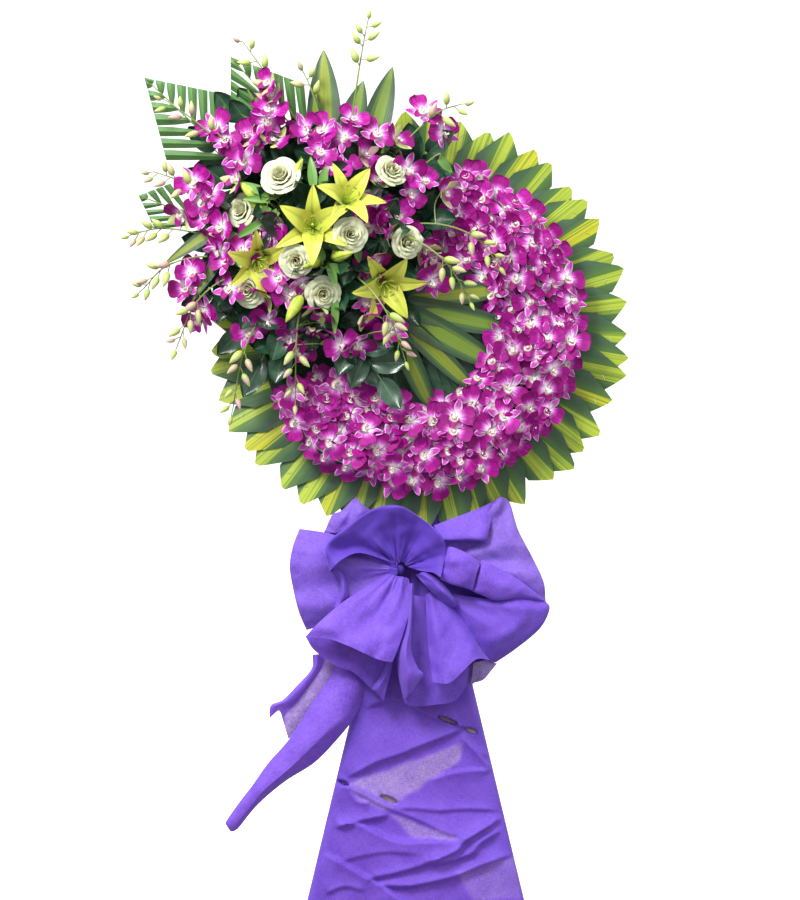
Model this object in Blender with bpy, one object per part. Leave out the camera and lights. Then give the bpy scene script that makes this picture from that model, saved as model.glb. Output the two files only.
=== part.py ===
"""Funeral wreath on its easel: a ring of pinned orchid florets edged with striped leaves, a spray of
orchid stems, lilies, roses and palm at its upper left, a cloth bow, and a cloth-wrapped three-legged easel.

Lengths are metres. The wreath is modelled in the plane of the easel, with the ring's centre as the zero:
x to the viewer's right, y up along the easel, z out towards the viewer. The easel then leans back.
"""

import math
import random

import bmesh
import bpy
from mathutils import Matrix, Vector
from mathutils.bvhtree import BVHTree

for old in list(bpy.data.objects):
    bpy.data.objects.remove(old)

# The easel's lean and height
LEAN = math.radians(8)
RING_HEIGHT = 1.228

# The flat board behind the ring
BOARD_INNER = 0.138
BOARD_OUTER = 0.308
BOARD_THICK = 0.006

# The edging of striped leaves
LEAF_COUNT = 42
LEAF_SECTORS = 4
LEAF_LENGTH = 0.172
LEAF_HALF_WIDTH = 0.039
LEAF_ROOT_RADIUS = 0.232
LEAF_MIDDLE = 0.0062
LEAF_TWIST = math.radians(6.5)
LEAF_THICK = 0.0011
STRIP_INNER = 0.226
STRIP_OUTER = 0.262
STRIP_TOP = 0.0115
# Each strip stops short of its sector's ends by this angle, and the end leaves of two sectors pass there
STRIP_SHORT = 0.052

# The foam ring and the bed of florets pinned to it
FOAM_INNER = 0.150
FOAM_OUTER = 0.300
FOAM_BACK = 0.0118
FOAM_FRONT = 0.036
BED_SECTORS = 4
BED_FROM = math.radians(-157)
BED_TO = math.radians(76)
BED_INNER = 0.158
BED_OUTER = 0.294
BED_TOP = 0.046
FLORET_ROWS = ((0.170, -22, 0.051), (0.208, -8, 0.058), (0.247, 8, 0.058), (0.284, 22, 0.050))
FLORET_PITCH = 0.0460
FLORET_RADIUS = 0.0320
FLORET_THICK = 0.0022
FLORET_STALK = 0.0026

# The wet foam block that holds the spray
BLOCK_AT = (-0.175, 0.160)
BLOCK_SIZE = (0.250, 0.150)
BLOCK_TURN = math.radians(45)
BLOCK_BACK = FOAM_FRONT + 0.0003
BLOCK_FRONT = 0.106
ROOT_DEPTH = 0.022
STEM_RADIUS = 0.0024
HOLE_RADIUS = 0.0068

# The wooden easel
POST_WIDTH = 0.045
POST_BACK = -0.0203
POST_FRONT = -0.0063
POST_TOP = -0.142
POST_FOOT = -0.520
LEG_RADIUS = 0.011
LEG_MIDDLE = -0.0223
LEG_SLOPE = 0.233
LEG_APEX = -0.294
LEG_TOP = -0.380
REAR_TOP = -0.300
REAR_FOOT = 0.430
LATH_BACK = -0.0110
LATH_FRONT = -0.0064
LATH_WIDTH = 0.016
# Each lath's height at the left leg and at the right leg
LATHS = {"lath_upper": (-0.690, -0.775), "lath_lower": (-0.862, -1.000)}
CROSSPIECE_HEIGHT = -0.490
CROSSPIECE_HALF = 0.050
CROSSPIECE_THICK = 0.008
# The clearance between pieces that touch
GAP = 0.0003

# The cloth wrapped round the front legs
WRAP_TOP = -0.335
WRAP_FOOT = -1.200
WRAP_FRONT = -0.0042
WRAP_THICK = 0.0018
WRAP_ROUND = 0.0150

# The bow
BOW_AT = (-0.036, -0.462)
BOW_BACK = -0.0039
BOW_REACH = (0.280, 0.260, 0.150, 0.112, 0.140, 0.180, 0.190, 0.200, 0.215, 0.245, 0.255, 0.270)
BOW_FLUTES = 8
BOW_DEPTH = 0.064
BOW_RUFFLE = 0.022
BOW_EDGE = 0.010

EASEL = Matrix((
    (1, 0, 0, 0),
    (0, math.sin(LEAN), -math.cos(LEAN), 0),
    (0, math.cos(LEAN), math.sin(LEAN), RING_HEIGHT),
    (0, 0, 0, 1),
))

parts = bpy.data.collections.new("funeral_wreath")
bpy.context.scene.collection.children.link(parts)
scraps = bpy.data.collections.new("scraps")
bpy.context.scene.collection.children.link(scraps)
easel = bpy.data.objects.new("easel_plane", None)
easel.matrix_world = EASEL
parts.objects.link(easel)


def finish_material(name, colour, roughness):
    """A plain Principled finish."""
    material = bpy.data.materials.new(name)
    material.use_nodes = True
    shader = material.node_tree.nodes["Principled BSDF"]
    shader.inputs["Base Color"].default_value = (*colour, 1)
    shader.inputs["Roughness"].default_value = roughness
    return material


STRIPED_LEAF = finish_material("striped_leaf", (0.10, 0.22, 0.05), 0.45)
DARK_LEAF = finish_material("dark_leaf", (0.02, 0.07, 0.03), 0.4)
PALM = finish_material("palm", (0.08, 0.20, 0.05), 0.5)
ORCHID = finish_material("orchid", (0.45, 0.01, 0.35), 0.5)
LILY = finish_material("lily", (0.75, 0.75, 0.08), 0.5)
ROSE = finish_material("rose", (0.85, 0.85, 0.62), 0.55)
FOAM = finish_material("foam", (0.03, 0.09, 0.05), 0.95)
BOARD = finish_material("board", (0.30, 0.22, 0.13), 0.8)
BAMBOO = finish_material("bamboo", (0.50, 0.37, 0.20), 0.6)
CLOTH = finish_material("cloth", (0.22, 0.10, 0.62), 0.8)


# Making, placing and joining meshes

def scrap(mesh_source, placed=Matrix.Identity(4)):
    """A loose piece in the easel's plane, kept aside until it is fused or finished."""
    mesh_source.transform(placed)
    bmesh.ops.recalc_face_normals(mesh_source, faces=mesh_source.faces)
    if mesh_source.calc_volume(signed=True) < 0:
        bmesh.ops.reverse_faces(mesh_source, faces=mesh_source.faces)
    mesh = bpy.data.meshes.new("scrap")
    mesh_source.to_mesh(mesh)
    mesh_source.free()
    piece = bpy.data.objects.new("scrap", mesh)
    scraps.objects.link(piece)
    return piece


def in_plane(name, mesh, material):
    """Puts a finished mesh on the easel as one named piece."""
    mesh.materials.clear()
    mesh.materials.append(material)
    piece = bpy.data.objects.new(name, mesh)
    parts.objects.link(piece)
    piece.parent = easel
    return piece


def combined(body, operation, others, solver):
    """Fuses a collection of pieces with the body, or cuts them from it, and applies the result."""
    group = bpy.data.collections.new("group")
    bpy.context.scene.collection.children.link(group)
    for other in others:
        scraps.objects.unlink(other)
        group.objects.link(other)
    boolean = body.modifiers.new(operation, "BOOLEAN")
    boolean.operation = operation
    boolean.operand_type = "COLLECTION"
    boolean.collection = group
    boolean.solver = solver
    bpy.context.view_layer.update()
    graph = bpy.context.evaluated_depsgraph_get()
    mesh = bpy.data.meshes.new_from_object(body.evaluated_get(graph))
    body.modifiers.clear()
    body.data = mesh
    for other in others:
        bpy.data.objects.remove(other)
    bpy.data.collections.remove(group)


def joined(name, pieces, material, cutters=(), solver="MANIFOLD"):
    """One body from overlapping pieces by a Boolean union, less the cutters."""
    body = pieces[0]
    for operation, others in (("UNION", pieces[1:]), ("DIFFERENCE", list(cutters))):
        if others:
            combined(body, operation, others, solver)
    mesh = body.data
    mesh.name = name
    bpy.data.objects.remove(body)
    keep_outer_skin(mesh)
    return in_plane(name, mesh, material)


def keep_outer_skin(mesh):
    """Fills the small hollows that fusing sealed in, by removing every skin but the one with the most faces."""
    shape = bmesh.new()
    shape.from_mesh(mesh)
    waiting = set(shape.faces)
    skins = []
    while waiting:
        skin = [waiting.pop()]
        for face in skin:
            for edge in face.edges:
                if len(edge.link_faces) == 2:
                    for other in edge.link_faces:
                        if other in waiting:
                            waiting.discard(other)
                            skin.append(other)
        skins.append(skin)
    skins.sort(key=len)
    for skin in skins[:-1]:
        bmesh.ops.delete(shape, geom=skin, context="FACES")
    shape.to_mesh(mesh)
    shape.free()


def aimed(at, facing, spin=0.0, size=1.0):
    """A placement at a point: local z along facing, local y as near up as it can be, then turned by spin."""
    z = Vector(facing).normalized()
    up = Vector((0, 1, 0)) if abs(z.y) < 0.95 else Vector((-1, 0, 0))
    x = up.cross(z).normalized()
    y = z.cross(x)
    turn = Matrix((x, y, z)).transposed().to_4x4()
    return Matrix.Translation(at) @ turn @ Matrix.Rotation(spin, 4, "Z") @ Matrix.Scale(size, 4)


def along(at, direction, face, size=1.0):
    """A placement at a point: local y along direction, local z as near face as it can be."""
    y = Vector(direction).normalized()
    x = y.cross(Vector(face)).normalized()
    z = x.cross(y)
    turn = Matrix((x, y, z)).transposed().to_4x4()
    return Matrix.Translation(at) @ turn @ Matrix.Scale(size, 4)


def bezier(a, b, c, t):
    """A point on the quadratic curve from a to c, pulled towards b."""
    return (1 - t) ** 2 * a + 2 * t * (1 - t) * b + t * t * c


def tree_of(mesh):
    """The mesh's faces, for asking what they cross."""
    return BVHTree.FromPolygons([v.co for v in mesh.vertices], [p.vertices for p in mesh.polygons])


def first_clear(build, trials, taken):
    """Builds with each trial value in turn until no face crosses the trees already taken, and adds its trees."""
    for trial in trials:
        pieces = build(trial)
        trees = [tree_of(piece.data) for piece in pieces]
        crosses = any(tree.overlap(other) for tree in trees for other in taken)
        if not crosses or trial == trials[-1]:
            break
        for piece in pieces:
            bpy.data.objects.remove(piece)
    taken += trees
    return pieces


def turned_by(angle):
    return Vector((math.cos(angle), math.sin(angle), 0))


# Shapes that repeat

def thickened(sheet, thickness):
    """Gives an open sheet its thickness, behind it, or in front of it where the thickness is negative."""
    bmesh.ops.recalc_face_normals(sheet, faces=sheet.faces)
    if sum(face.normal.z * face.calc_area() for face in sheet.faces) < 0:
        bmesh.ops.reverse_faces(sheet, faces=sheet.faces)
    bmesh.ops.solidify(sheet, geom=sheet.verts[:] + sheet.edges[:] + sheet.faces[:], thickness=thickness)
    return sheet


def rod(a, b, radius, sides=4, end_radius=None):
    """A straight stem from a to b."""
    a, b = Vector(a), Vector(b)
    shape = bmesh.new()
    bmesh.ops.create_cone(shape, cap_ends=True, segments=sides, radius1=radius,
                          radius2=radius if end_radius is None else end_radius, depth=(b - a).length)
    return scrap(shape, aimed((a + b) / 2, b - a))


def stem(points, radius):
    """A square-section stem through the points, as a bevelled curve made a mesh."""
    curve = bpy.data.curves.new("stem", "CURVE")
    curve.dimensions = "3D"
    curve.bevel_depth = radius
    curve.bevel_resolution = 0
    curve.use_fill_caps = True
    line = curve.splines.new("POLY")
    line.points.add(len(points) - 1)
    for knot, point in zip(line.points, points):
        knot.co = (*point, 1)
    holder = bpy.data.objects.new("stem", curve)
    scraps.objects.link(holder)
    bpy.context.view_layer.update()
    graph = bpy.context.evaluated_depsgraph_get()
    mesh = bpy.data.meshes.new_from_object(holder.evaluated_get(graph))
    shape = bmesh.new()
    shape.from_mesh(mesh)
    bmesh.ops.remove_doubles(shape, verts=shape.verts, dist=1e-6)
    bpy.data.objects.remove(holder)
    bpy.data.meshes.remove(mesh)
    return scrap(shape)


def lens(rim, hub_at, thick, placed):
    """A thin blade from a cone: the rim's points round a hub in front, the cone's apex just behind the hub."""
    shape = bmesh.new()
    bmesh.ops.create_cone(shape, cap_ends=True, cap_tris=True, segments=len(rim), radius1=0, radius2=1, depth=1)
    hub = [v for v in shape.verts if v.co.z > 0 and math.hypot(v.co.x, v.co.y) < 0.5][0]
    apex = [v for v in shape.verts if v.co.z < 0][0]
    edge = sorted((v for v in shape.verts if v not in (hub, apex)), key=lambda v: math.atan2(v.co.y, v.co.x))
    for vertex, point in zip(edge, rim):
        vertex.co = point
    hub.co = hub_at
    apex.co = hub.co - Vector((0, 0, thick))
    return scrap(shape, placed)


# The easel: a flat post, two poles that splay from it, a rear pole, two laths and a crosspiece

def pole(name, top, foot, cut_at, cut_facing):
    """A round pole cut level at the floor, and at its top by a plane in the easel's own space."""
    to_plane = EASEL.inverted()
    top, foot = Vector(top), Vector(foot)
    shape = bmesh.new()
    bmesh.ops.create_cone(shape, cap_ends=True, segments=10, radius1=LEG_RADIUS, radius2=LEG_RADIUS,
                          depth=(top - foot).length + 0.2)
    shape.transform(aimed((top + foot) / 2, top - foot))
    floor_at = to_plane @ Vector((0, 0, 0))
    floor_facing = to_plane.to_3x3() @ Vector((0, 0, -1))
    for at, facing in ((floor_at, floor_facing), (Vector(cut_at), Vector(cut_facing))):
        cut = bmesh.ops.bisect_plane(shape, geom=shape.verts[:] + shape.edges[:] + shape.faces[:],
                                     plane_co=at, plane_no=facing, clear_outer=True)
        rim = [e for e in cut["geom_cut"] if isinstance(e, bmesh.types.BMEdge)]
        bmesh.ops.edgeloop_fill(shape, edges=rim)
    piece = scrap(shape)
    return joined(name, [piece], BAMBOO)


def leg_reach(height):
    """How far a front leg's axis stands from the middle at a height on the easel."""
    return LEG_SLOPE * (LEG_APEX - height)


def build_easel():
    post = bmesh.new()
    bmesh.ops.create_cube(post, size=1)
    size = Matrix.Diagonal((POST_WIDTH, POST_TOP - POST_FOOT, POST_FRONT - POST_BACK, 1))
    middle = (0, (POST_TOP + POST_FOOT) / 2, (POST_FRONT + POST_BACK) / 2)
    joined("easel_post", [scrap(post, Matrix.Translation(middle) @ size)], BAMBOO)
    floor = -RING_HEIGHT / math.cos(LEAN)
    for name, side in (("leg_left", -1), ("leg_right", 1)):
        top = (side * leg_reach(LEG_TOP), LEG_TOP, LEG_MIDDLE)
        foot = (side * leg_reach(floor), floor, LEG_MIDDLE)
        pole(name, top, foot, (side * (POST_WIDTH / 2 + GAP), 0, 0), (-side, 0, 0))
    top = Vector((0, REAR_TOP, POST_BACK))
    foot = EASEL.inverted() @ Vector((0, REAR_FOOT, 0))
    pole("leg_rear", top, foot, (0, 0, POST_BACK - GAP), (0, 0, 1))
    for name, (left, right) in LATHS.items():
        ends = Vector((-leg_reach(left), left, 0)), Vector((leg_reach(right), right, 0))
        lath(name, *ends, LATH_BACK, LATH_FRONT)
    behind = LEG_MIDDLE - LEG_RADIUS - GAP
    ends = [Vector((side * CROSSPIECE_HALF, CROSSPIECE_HEIGHT, 0)) for side in (-1, 1)]
    lath("crosspiece", *ends, behind - CROSSPIECE_THICK, behind)


def lath(name, a, b, back, front):
    """A flat split-bamboo strip from a to b."""
    strip = bmesh.new()
    bmesh.ops.create_cube(strip, size=1)
    size = Matrix.Diagonal(((b - a).length, LATH_WIDTH, front - back, 1))
    turn = Matrix.Rotation(math.atan2((b - a).y, (b - a).x), 4, "Z")
    middle = (a + b) / 2 + Vector((0, 0, (front + back) / 2))
    joined(name, [scrap(strip, Matrix.Translation(middle) @ turn @ size)], BAMBOO)


# The ring: board, leaf edging, foam and florets

def ring_section(outline, start, end, steps):
    """A solid swept round the ring's centre from an outline of (radius, height): a grid wrapped on itself."""
    whole = end - start > 2 * math.pi - 1e-6
    shape = bmesh.new()
    bmesh.ops.create_grid(shape, x_segments=steps, y_segments=len(outline), size=1)
    for vertex in shape.verts:
        angle = start + (end - start) * (vertex.co.x + 1) / 2
        radius, height = outline[round((vertex.co.y + 1) / 2 * len(outline)) % len(outline)]
        vertex.co = turned_by(angle) * radius + Vector((0, 0, height))
    bmesh.ops.remove_doubles(shape, verts=shape.verts, dist=1e-6)
    if not whole:
        bmesh.ops.holes_fill(shape, edges=[e for e in shape.edges if e.is_boundary], sides=len(outline))
    return scrap(shape)


def board_and_foam():
    board = ((BOARD_INNER, -BOARD_THICK), (BOARD_OUTER, -BOARD_THICK), (BOARD_OUTER, 0), (BOARD_INNER, 0))
    joined("backing_board", [ring_section(board, 0, 2 * math.pi, 30)], BOARD)
    foam = ((FOAM_INNER, FOAM_BACK), (FOAM_OUTER, FOAM_BACK), (FOAM_OUTER, 0.022), (0.278, FOAM_FRONT),
            (0.172, FOAM_FRONT), (FOAM_INNER, 0.022))
    joined("foam_ring", [ring_section(foam, 0, 2 * math.pi, 30)], FOAM)


def edging_leaf(angle, longer):
    """One folded striped leaf of the edging, its tip cut to a point, laid over the next like a slate."""
    rim = [(share_x * LEAF_HALF_WIDTH, share_y * LEAF_LENGTH + (longer if share_y > 0.5 else 0), 0)
           for share_x, share_y in ((-0.72, 0.05), (-0.5, 0), (0.5, 0), (0.8, 0.3), (1.0, 0.62), (0.72, 0.86),
                                    (0.06, 1.0), (-0.88, 0.72), (-1.0, 0.5))]
    rim = sorted(rim, key=lambda p: math.atan2(p[1] - LEAF_LENGTH / 2, p[0]))
    out = turned_by(angle)
    root = out * LEAF_ROOT_RADIUS + Vector((0, 0, LEAF_MIDDLE))
    placed = along(root, out, (0, 0, 1)) @ Matrix.Rotation(LEAF_TWIST, 4, "Y")
    return lens(rim, (0, LEAF_LENGTH / 2, 0.0004), LEAF_THICK, placed)


def leaf_edging():
    dice = random.Random(11)
    longer = [dice.uniform(-0.005, 0.008) for _ in range(LEAF_COUNT)]
    pitch = 2 * math.pi / LEAF_COUNT
    strip = ((STRIP_INNER, GAP), (STRIP_OUTER, GAP), (STRIP_OUTER, STRIP_TOP), (STRIP_INNER, STRIP_TOP))
    for sector in range(LEAF_SECTORS):
        first = round(sector * LEAF_COUNT / LEAF_SECTORS)
        past = round((sector + 1) * LEAF_COUNT / LEAF_SECTORS)
        pieces = [ring_section(strip, (first - 0.5) * pitch + STRIP_SHORT,
                               (past - 0.5) * pitch - STRIP_SHORT, 9)]
        pieces += [edging_leaf(i * pitch, longer[i]) for i in range(first, past)]
        joined(f"leaf_edging_{sector + 1}", pieces, STRIPED_LEAF)


# A floret's outline: angle, reach and lift for three pointed sepals, two broad petals and the notches between
FLORET_RIM = ((-160, 0.40, 0.02), (-128, 0.95, 0.10), (-90, 0.34, 0.02), (-52, 0.95, 0.10), (-20, 0.40, 0.02),
              (4, 0.95, 0.08), (40, 0.98, 0.08), (63, 0.42, 0.02), (90, 1.00, 0.10), (117, 0.42, 0.02),
              (140, 0.98, 0.08), (176, 0.95, 0.08))


def floret(at, facing, spin, radius, root, stalk=FLORET_STALK, meet=(0.25, 0.10, -0.004)):
    """An open orchid floret: a thin star of sepals and petals cupped towards its throat, and the stalk from a
    root point to its back, which it meets beside the throat. meet is in floret radii."""
    rim = [turned_by(math.radians(angle)) * reach + Vector((0, 0, lift)) for angle, reach, lift in FLORET_RIM]
    placed = aimed(at, facing, spin, radius)
    star = lens(rim, (0, 0, 0), FLORET_THICK / radius, placed)
    return [star, rod(root, placed @ Vector(meet), stalk, 3, 0.0013)]


def floret_places():
    """Each floret of the ring: angle, radius, height, outward tilt and spin, row by row."""
    dice = random.Random(5)
    places = []
    for row, (radius, tilt, height) in enumerate(FLORET_ROWS):
        count = round((BED_TO - BED_FROM) * radius / FLORET_PITCH)
        for i in range(count):
            angle = BED_FROM + (BED_TO - BED_FROM) * (i + 0.5) / count
            places.append((angle + dice.uniform(-0.01, 0.01), radius + dice.uniform(-0.002, 0.002),
                           height, tilt + dice.uniform(-4, 4),
                           math.radians(dice.uniform(-50, 50)) + angle * (row % 2)))
    return places


def orchid_bed():
    span = (BED_TO - BED_FROM) / BED_SECTORS
    bed = ((0.173, FOAM_FRONT + GAP), (0.277, FOAM_FRONT + GAP), (BED_OUTER, 0.039), (0.278, BED_TOP),
           (0.176, BED_TOP), (BED_INNER, 0.039))
    places = floret_places()
    taken = []
    for sector in range(BED_SECTORS):
        start, end = BED_FROM + sector * span, BED_FROM + (sector + 1) * span
        edge = 0.5 * GAP / 0.13
        low = start + edge if sector else -math.pi
        high = end - edge if sector < BED_SECTORS - 1 else math.pi
        pieces = [ring_section(bed, start + edge, end - edge, 8)]
        for angle, radius, height, tilt, spin in places:
            if not start <= angle < end:
                continue
            out = turned_by(angle)
            lean = math.radians(tilt)
            facing = Vector((0, 0, math.cos(lean))) + out * math.sin(lean)
            root = out * min(max(radius, 0.172), 0.280) + Vector((0, 0, BED_TOP - 0.006))

            at_side = min(angle - low, high - angle) < FLORET_RADIUS / radius
            meet = (0, 0, -0.025) if at_side else (0.25, 0.10, -0.004)

            def raised(lift):
                at = out * radius + Vector((0, 0, height + lift))
                made = floret(at, facing, spin, FLORET_RADIUS, root, meet=meet)
                for piece in made:
                    fold_into(piece.data, low, high)
                return made

            pieces += first_clear(raised, [0.003 * i for i in range(9)], taken)
        joined(f"orchid_ring_{sector + 1}", pieces, ORCHID)


def fold_into(mesh, low, high):
    """Folds back the petals that would reach past the sector's sides, which run out from the ring's centre."""
    for vertex in mesh.vertices:
        radius = math.hypot(vertex.co.x, vertex.co.y)
        angle = math.atan2(vertex.co.y, vertex.co.x)
        kept = turned_by(min(max(angle, low), high)) * radius
        vertex.co = (kept.x, kept.y, vertex.co.z)


# The spray: a foam block, and what stands in its holes

block_turn = Matrix.Translation((*BLOCK_AT, 0)) @ Matrix.Rotation(BLOCK_TURN, 4, "Z")
cutters = []
spray_taken = []


def taken_by(name):
    """The faces of a finished piece, which the spray keeps clear of."""
    return tree_of(bpy.data.objects[name].data)


def on_block(across, up, out=BLOCK_FRONT):
    """A point of the foam block from its middle: across its length, up its width, and out from the easel."""
    return block_turn @ Vector((across, up, out))


def hole(surface, direction):
    """A plain hole in the foam for a stem that enters at a surface point along a direction."""
    direction = Vector(direction).normalized()
    bottom = surface - direction * (ROOT_DEPTH + 0.0005)
    cutters.append(rod(bottom, surface + direction * 0.020, HOLE_RADIUS, 3))


def seat_on_block(toward):
    """Where a stem bound for a point leaves the block, and the direction in which it leaves."""
    bound = block_turn.inverted() @ Vector(toward)
    core = Vector((min(max(0.55 * bound.x, -0.085), 0.085), min(max(0.3 * bound.y, -0.035), 0.035),
                   (BLOCK_BACK + BLOCK_FRONT) / 2))
    step = bound - core
    shares = []
    for low, high, start, move in ((-BLOCK_SIZE[0] / 2, BLOCK_SIZE[0] / 2, core.x, step.x),
                                   (-BLOCK_SIZE[1] / 2, BLOCK_SIZE[1] / 2, core.y, step.y),
                                   (BLOCK_BACK, BLOCK_FRONT, core.z, step.z)):
        if abs(move) > 1e-9:
            shares.append(max((low - start) / move, (high - start) / move))
    seat = core + step * min(shares)
    return block_turn @ seat, (block_turn.to_3x3() @ step).normalized()


def planted(name, material, build, trials):
    """A stemmed piece of the spray: the first trial that crosses nothing, fused, with its hole in the foam."""
    made = {}

    def attempt(trial):
        pieces, made["seat"], made["direction"] = build(trial)
        return pieces

    pieces = first_clear(attempt, trials, spray_taken)
    hole(made["seat"], made["direction"])
    joined(name, pieces, material, solver="EXACT")


LIFTS = sorted((0.005 * i for i in range(-9, 16)), key=abs)


def rooted(seat, direction):
    """The buried start of a stem, and where it comes clear of the foam."""
    return [seat - direction * ROOT_DEPTH, seat + direction * 0.010]


# Roses: where the head sits in the easel's plane, how far out, which way it faces, and its size

ROSES = ((-257, 283, 158, (-0.25, 0.45, 1), 1.20), (-46, 293, 128, (0.55, 0.55, 1), 1.0),
         (-334, 219, 120, (-0.8, 0.2, 1), 0.95), (-125, 172, 172, (0.3, -0.1, 1), 0.95),
         (-226, 120, 168, (-0.1, -0.35, 1), 0.95), (-319, 62, 118, (-0.5, -0.5, 1), 0.95),
         (-176, 52, 142, (0.1, -0.6, 1), 0.95), (-12, 156, 122, (0.7, -0.1, 1), 1.0))


def petal(width, length, cup, placed):
    """A broad cupped rose petal, its root end at the zero."""
    rim = [(x * width, y * length, cup * x * x * width)
           for x, y in ((0, 0), (1.0, 0.55), (0.55, 0.98), (-0.55, 0.98), (-1.0, 0.55))]
    return lens(rim, (0, length * 0.55, -0.0015), 0.0016, placed)


def rose_head(at, facing, size):
    """Two rounds of petals standing out of a closed bud."""
    base = aimed(at, facing, 0.4, size)
    shape = bmesh.new()
    bmesh.ops.create_cone(shape, cap_ends=True, segments=5, radius1=0.0110, radius2=0.0070, depth=0.034)
    pieces = [scrap(shape, base @ Matrix.Translation((0, 0, 0.017)))]
    for count, leaning, inset, width, length in ((3, 8, 0.0080, 0.015, 0.038), (5, 42, 0.0080, 0.019, 0.036)):
        for i in range(count):
            turn = Matrix.Rotation(2 * math.pi * i / count + leaning, 4, "Z")
            lean = Matrix.Rotation(math.radians(90 - leaning), 4, "X") @ Matrix.Rotation(0.3, 4, "Y")
            pieces.append(petal(width, length, 0.4, base @ turn @ Matrix.Translation((0, inset, 0.003)) @ lean))
    return pieces


def roses():
    for number, (u, v, w, facing, size) in enumerate(ROSES, 1):
        facing = Vector(facing).normalized()

        def build(push):
            at = Vector((u, v, w)) / 1000 + facing * push
            seat, direction = seat_on_block(at - facing * 0.030)
            pieces = rose_head(at, facing, size)
            knots = rooted(seat, direction) + [at - facing * 0.010, at + facing * 0.006]
            pieces.append(stem(knots, STEM_RADIUS))
            return pieces, seat, direction

        planted(f"rose_{number}", ROSE, build, [0.006 * i for i in range(14)])


# Lilies: mouth in the easel's plane, how far out, facing, spin and size

LILIES = ((-196, 190, 205, (0.0, 0.05, 1), 0, 1.0), (-134, 236, 178, (0.35, 0.45, 1), 20, 0.92),
          (-296, 116, 150, (-0.75, -0.45, 0.9), 10, 0.95), (-46, 64, 135, (0.55, -0.65, 0.9), 35, 1.0))


def tepal(width, length, placed):
    """A lily's pointed, backswept tepal, its edges raised about the rib."""
    rim = [(x * width, y * length, z * length)
           for x, y, z in ((0, 0, 0), (1, 0.48, 0.06), (0.80, 0.76, -0.04), (0, 0.96, -0.24),
                           (-0.80, 0.76, -0.04), (-1, 0.48, 0.06))]
    return lens(rim, (0, length * 0.58, 0), 0.0014, placed)


def lily_head(at, facing, spin, size):
    """Six tepals round a throat, with a pistil and stamens. at is the middle of the mouth."""
    base = aimed(at, facing, math.radians(spin), size) @ Matrix.Translation((0, 0, -0.050))
    shape = bmesh.new()
    bmesh.ops.create_cone(shape, cap_ends=True, segments=6, radius1=0.003, radius2=0.0090, depth=0.020)
    pieces = [scrap(shape, base @ Matrix.Translation((0, 0, 0.004)))]
    for i in range(6):
        inner = i % 2
        turn = Matrix.Rotation(math.radians(60 * i), 4, "Z")
        lean = Matrix.Rotation(math.radians(56 if inner else 48), 4, "X")
        placed = base @ turn @ Matrix.Translation((0, 0.003, 0.007 if inner else 0.003)) @ lean
        pieces.append(tepal(0.019 if inner else 0.015, 0.078, placed))
    axis = base.to_3x3() @ Vector((0, 0, 1))
    root = base.translation
    for i in range(4):
        reach = base.to_3x3() @ (turned_by(math.radians(120 * i + 30)) * (0.014 if i < 3 else 0.0))
        pieces.append(rod(root + axis * 0.010 + reach * 0.3, root + axis * (0.052 if i < 3 else 0.062) + reach,
                          0.0011, 3, 0.0016))
    return pieces


def lilies():
    for number, (u, v, w, facing, spin, size) in enumerate(LILIES, 1):
        facing = Vector(facing).normalized()

        def build(push):
            at = Vector((u, v, w)) / 1000 + facing * push
            base = at - facing * 0.052 * size
            seat, direction = seat_on_block(base - facing * 0.015)
            pieces = lily_head(at, facing, spin, size)
            pieces.append(stem(rooted(seat, direction) + [base + facing * 0.004], STEM_RADIUS))
            return pieces, seat, direction

        planted(f"lily_{number}", LILY, build, [0.006 * i for i in range(16)])


# Orchid stems: the tip in the easel's plane and how far out, the sag of the bend, and the florets and buds

ORCHID_STEMS = (
    (-91, 564, 92, 0.02, 3, 4), (-325, 530, 96, 0.01, 4, 3), (-470, 420, 100, 0.02, 4, 3),
    (-492, 286, 96, 0.02, 4, 3), (-528, 170, 104, 0.03, 4, 3), (-512, 66, 92, 0.05, 4, 3),
    (-446, -36, 96, 0.07, 4, 3), (-344, -160, 104, 0.09, 4, 3), (-226, -140, 118, 0.09, 4, 3),
    (-24, -58, 118, 0.05, 3, 3), (96, 50, 122, 0.05, 3, 3), (150, 118, 126, 0.05, 3, 3),
    (84, 412, 112, 0.04, 4, 3), (-210, 470, 100, 0.02, 4, 2))


def bud(foot, tip, length, width):
    """A closed bud at the end of its own neck: a four-sided spindle, widest a third of the way up the bud."""
    run = (tip - foot).normalized()
    widest = tip - run * length * 0.65
    shape = bmesh.new()
    bmesh.ops.create_cone(shape, cap_ends=True, cap_tris=True, segments=4, radius1=width, radius2=0,
                          depth=length * 0.65)
    for vertex in shape.verts:
        if vertex.co.z < 0 and math.hypot(vertex.co.x, vertex.co.y) < 0.3 * width:
            vertex.co.z -= (widest - foot).length
    return scrap(shape, aimed((widest + tip) / 2, run))


def on_line(knots, share):
    """A point at a share of the way along straight runs between knots."""
    place = min(share, 0.9999) * (len(knots) - 1)
    first = int(place)
    return knots[first].lerp(knots[first + 1], place - first)


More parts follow.
